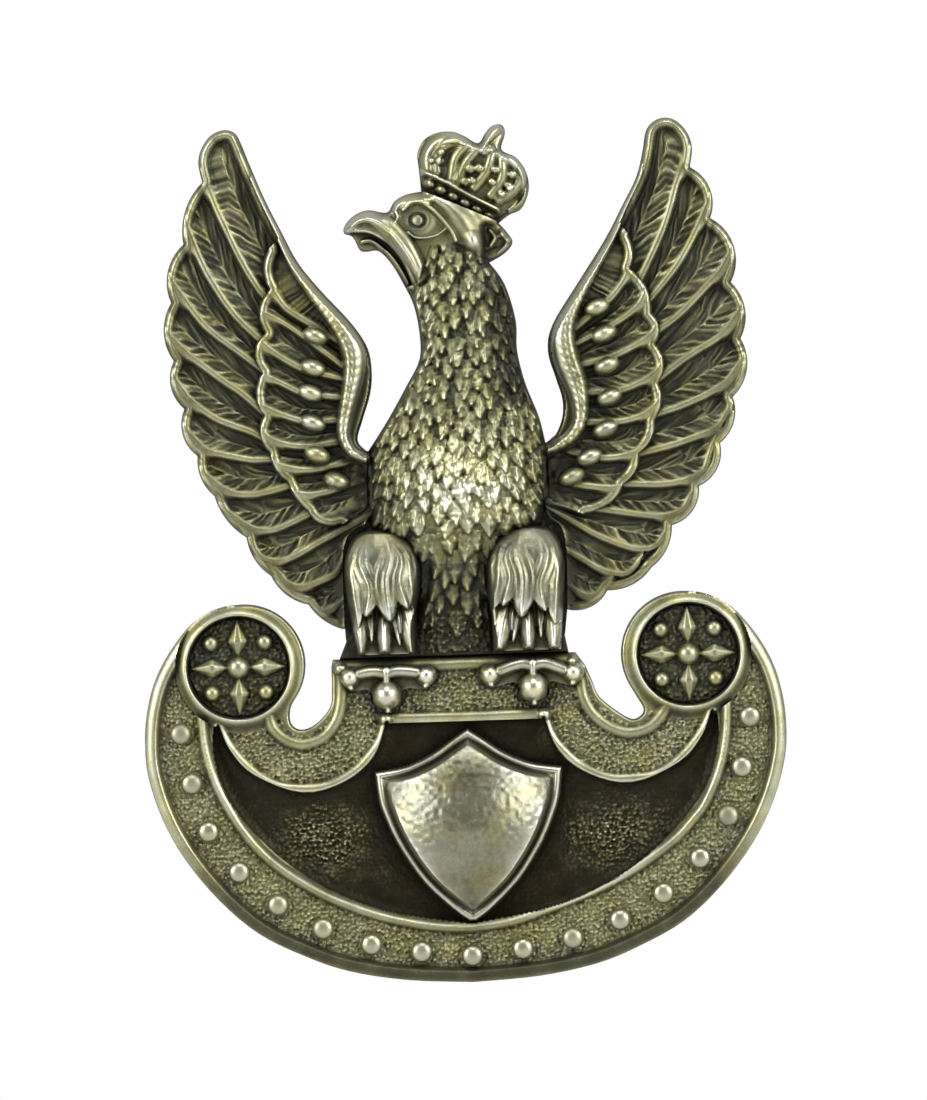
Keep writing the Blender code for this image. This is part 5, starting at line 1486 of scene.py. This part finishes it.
post = [(POST_RADIUS, float(y)) for y in np.arange(FIXING_GAP, POST_END, THREAD_STEP)]
add_fixing("post_thread", "screw_post",
           [(0.0, FIXING_GAP)] + post + [(1.05, POST_END), (0.0, POST_END)], 48,
           wave=thread(POST_RADIUS, 0.3, 0.7, 9.3, 0.5))
solder = [(1.26, FIXING_GAP), (4.15, FIXING_GAP), (4.2, 0.12), (4.2, 0.45), (4.14, 0.55),
          (4.04, 0.6), (1.9, 0.6), (1.55, 0.63), (1.26, 0.7)]
add_fixing("post_foot", "post_base", solder, 96, closed=True)
pin = [(0.0, FIXING_GAP), (0.85, FIXING_GAP), (0.78, 0.14), (0.64, 0.24), (0.6, 0.4),
       (0.6, 3.35), (0.56, 3.6), (0.44, 3.85), (0.3, 3.97), (0.0, 4.0)]
for side, centre in (("left", (-11.6, 11.0)), ("right", (11.8, 11.0))):
    add_fixing(f"pin_{side}_turned", f"locating_pin_{side}", pin, 36, centre=centre)
washer = [(1.75, 2.68), (1.83, 2.6), (6.1, 2.6), (6.18, 2.66), (6.2, 2.75), (6.2, 3.05),
          (6.18, 3.14), (6.1, 3.2), (1.83, 3.2), (1.75, 3.12)]
add_fixing("washer_disc", "backing_washer", washer, 128, "washer",
           finish=washer_steel, closed=True)

nut_thread = thread(NUT_BORE, 0.28, 0.0, 1.0, 0.0)
nut = [(1.75, NUT_FRONT), (4.65, NUT_FRONT), (4.8, 3.32), (NUT_RADIUS, 3.55), (NUT_RADIUS, 3.7),
       (NUT_RADIUS, 5.85), (NUT_RADIUS, 5.95), (4.8, 6.2), (4.65, NUT_BACK), (3.9, NUT_BACK),
       (3.78, 6.18), (3.65, 6.14), (2.5, 6.14), (2.38, 6.18), (2.25, NUT_BACK), (1.75, NUT_BACK)]
nut += [(NUT_BORE, float(y)) for y in np.arange(NUT_BACK - 0.25, NUT_FRONT + 0.2, -THREAD_STEP)]
add_fixing("nut_knurled", "round_nut", nut, 288, "nut", wave=nut_wave, closed=True)

# --------------------------------------------------------------------------------------------
# Floor, light and camera.

VIEW_TARGET = (0.22, 3.6)
VIEW_HEIGHT = 66.0
VIEW_DISTANCE = 420.0
ROLL = math.radians(1.8)
FLOOR_Z = -42.0


def add_floor():
    mesh = bpy.data.meshes.new("floor")
    corners = [(-300, -260), (300, -260), (300, 120), (-300, 120)]
    verts = [(x * MM, y * MM, FLOOR_Z * MM) for x, y in corners]
    verts += [(x * MM, y * MM, (FLOOR_Z - 6) * MM) for x, y in corners]
    faces = [(0, 1, 2, 3), (7, 6, 5, 4)] + [(k, k + 4, (k + 1) % 4 + 4, (k + 1) % 4)
                                            for k in range(4)]
    mesh.from_pydata(verts, [], faces)
    finish, nodes, _ = nodes_of("pale_floor")
    shader = nodes["Principled BSDF"]
    shader.inputs["Roughness"].default_value = 0.8
    shader.inputs["Base Color"].default_value = (0.8, 0.79, 0.77, 1)
    mesh.materials.append(finish)
    put_in_scene("floor", mesh)


def placed_at(right, up, back, spot):
    """World matrix of a light or camera from its three directions and its place."""
    return Matrix([[right[k], up[k], back[k], spot[k]] for k in range(3)] + [[0, 0, 0, 1]])


def add_softbox(name, azimuth, elevation, distance, width, height, power, colour):
    """A soft light that faces the badge. Azimuth 0 is the viewer's side, 90 the right."""
    lamp = bpy.data.lights.new(name, "AREA")
    lamp.shape = "RECTANGLE"
    lamp.size = width * MM
    lamp.size_y = height * MM
    lamp.energy = power
    lamp.color = colour
    a, e = math.radians(azimuth), math.radians(elevation)
    back = np.array([math.sin(a) * math.cos(e), -math.cos(a) * math.cos(e), math.sin(e)])
    right = np.cross((0, 0, 1), back)
    right /= np.linalg.norm(right)
    up = np.cross(back, right)
    put_in_scene(name, lamp).matrix_world = placed_at(right, up, back, back * distance * MM)


def add_world():
    """Plain soft surroundings, dimmer on the viewer's side. The camera itself sees white."""
    world = bpy.data.worlds.new("studio")
    bpy.context.scene.world = world
    world.use_nodes = True
    nodes, links = world.node_tree.nodes, world.node_tree.links
    nodes.clear()
    place = nodes.new("ShaderNodeTexCoord")
    split = nodes.new("ShaderNodeSeparateXYZ")
    links.new(place.outputs["Generated"], split.inputs[0])
    depth = maths(nodes, links, "MULTIPLY_ADD", split.outputs["Y"], 0.5, 0.5)
    around = ramp(nodes, [(0.0, grey(0.30)), (0.12, grey(0.34)), (0.35, grey(0.46)),
                          (0.6, grey(0.5)), (1.0, grey(0.5))])
    links.new(depth, around.inputs[0])
    upward = maths(nodes, links, "MULTIPLY_ADD", split.outputs["Z"], 0.7, 0.85, clamp=True)
    strength = maths(nodes, links, "MULTIPLY", around.outputs[0], upward)
    soft = nodes.new("ShaderNodeBackground")
    soft.inputs["Color"].default_value = (1.0, 1.0, 0.97, 1)
    links.new(strength, soft.inputs["Strength"])
    paper = nodes.new("ShaderNodeBackground")
    paper.inputs["Color"].default_value = (1, 1, 1, 1)
    path = nodes.new("ShaderNodeLightPath")
    mix = nodes.new("ShaderNodeMixShader")
    links.new(path.outputs["Is Camera Ray"], mix.inputs[0])
    links.new(soft.outputs[0], mix.inputs[1])
    links.new(paper.outputs[0], mix.inputs[2])
    links.new(mix.outputs[0], nodes.new("ShaderNodeOutputWorld").inputs[0])


def add_camera():
    camera = bpy.data.cameras.new("camera")
    camera.lens = camera.sensor_width * VIEW_DISTANCE / VIEW_HEIGHT
    camera.clip_start = 0.01
    camera.clip_end = 10.0
    right = (math.cos(ROLL), 0.0, -math.sin(ROLL))
    up = (math.sin(ROLL), 0.0, math.cos(ROLL))
    back = (0.0, -1.0, 0.0)
    spot = (VIEW_TARGET[0] * MM, -(VIEW_DISTANCE + 2.0) * MM, VIEW_TARGET[1] * MM)
    eye = put_in_scene("camera", camera)
    eye.matrix_world = placed_at(right, up, back, spot)
    bpy.context.scene.camera = eye


add_floor()
add_world()
add_softbox("light_left", -56, 18, 450, 220, 300, 1.7, (1.0, 1.0, 0.975))
add_softbox("light_right", 54, 20, 450, 220, 300, 1.7, (1.0, 1.0, 0.975))
add_softbox("light_top", 5, 62, 480, 260, 160, 0.9, (1.0, 1.0, 1.0))
add_camera()
bpy.context.scene.view_settings.view_transform = "Standard"
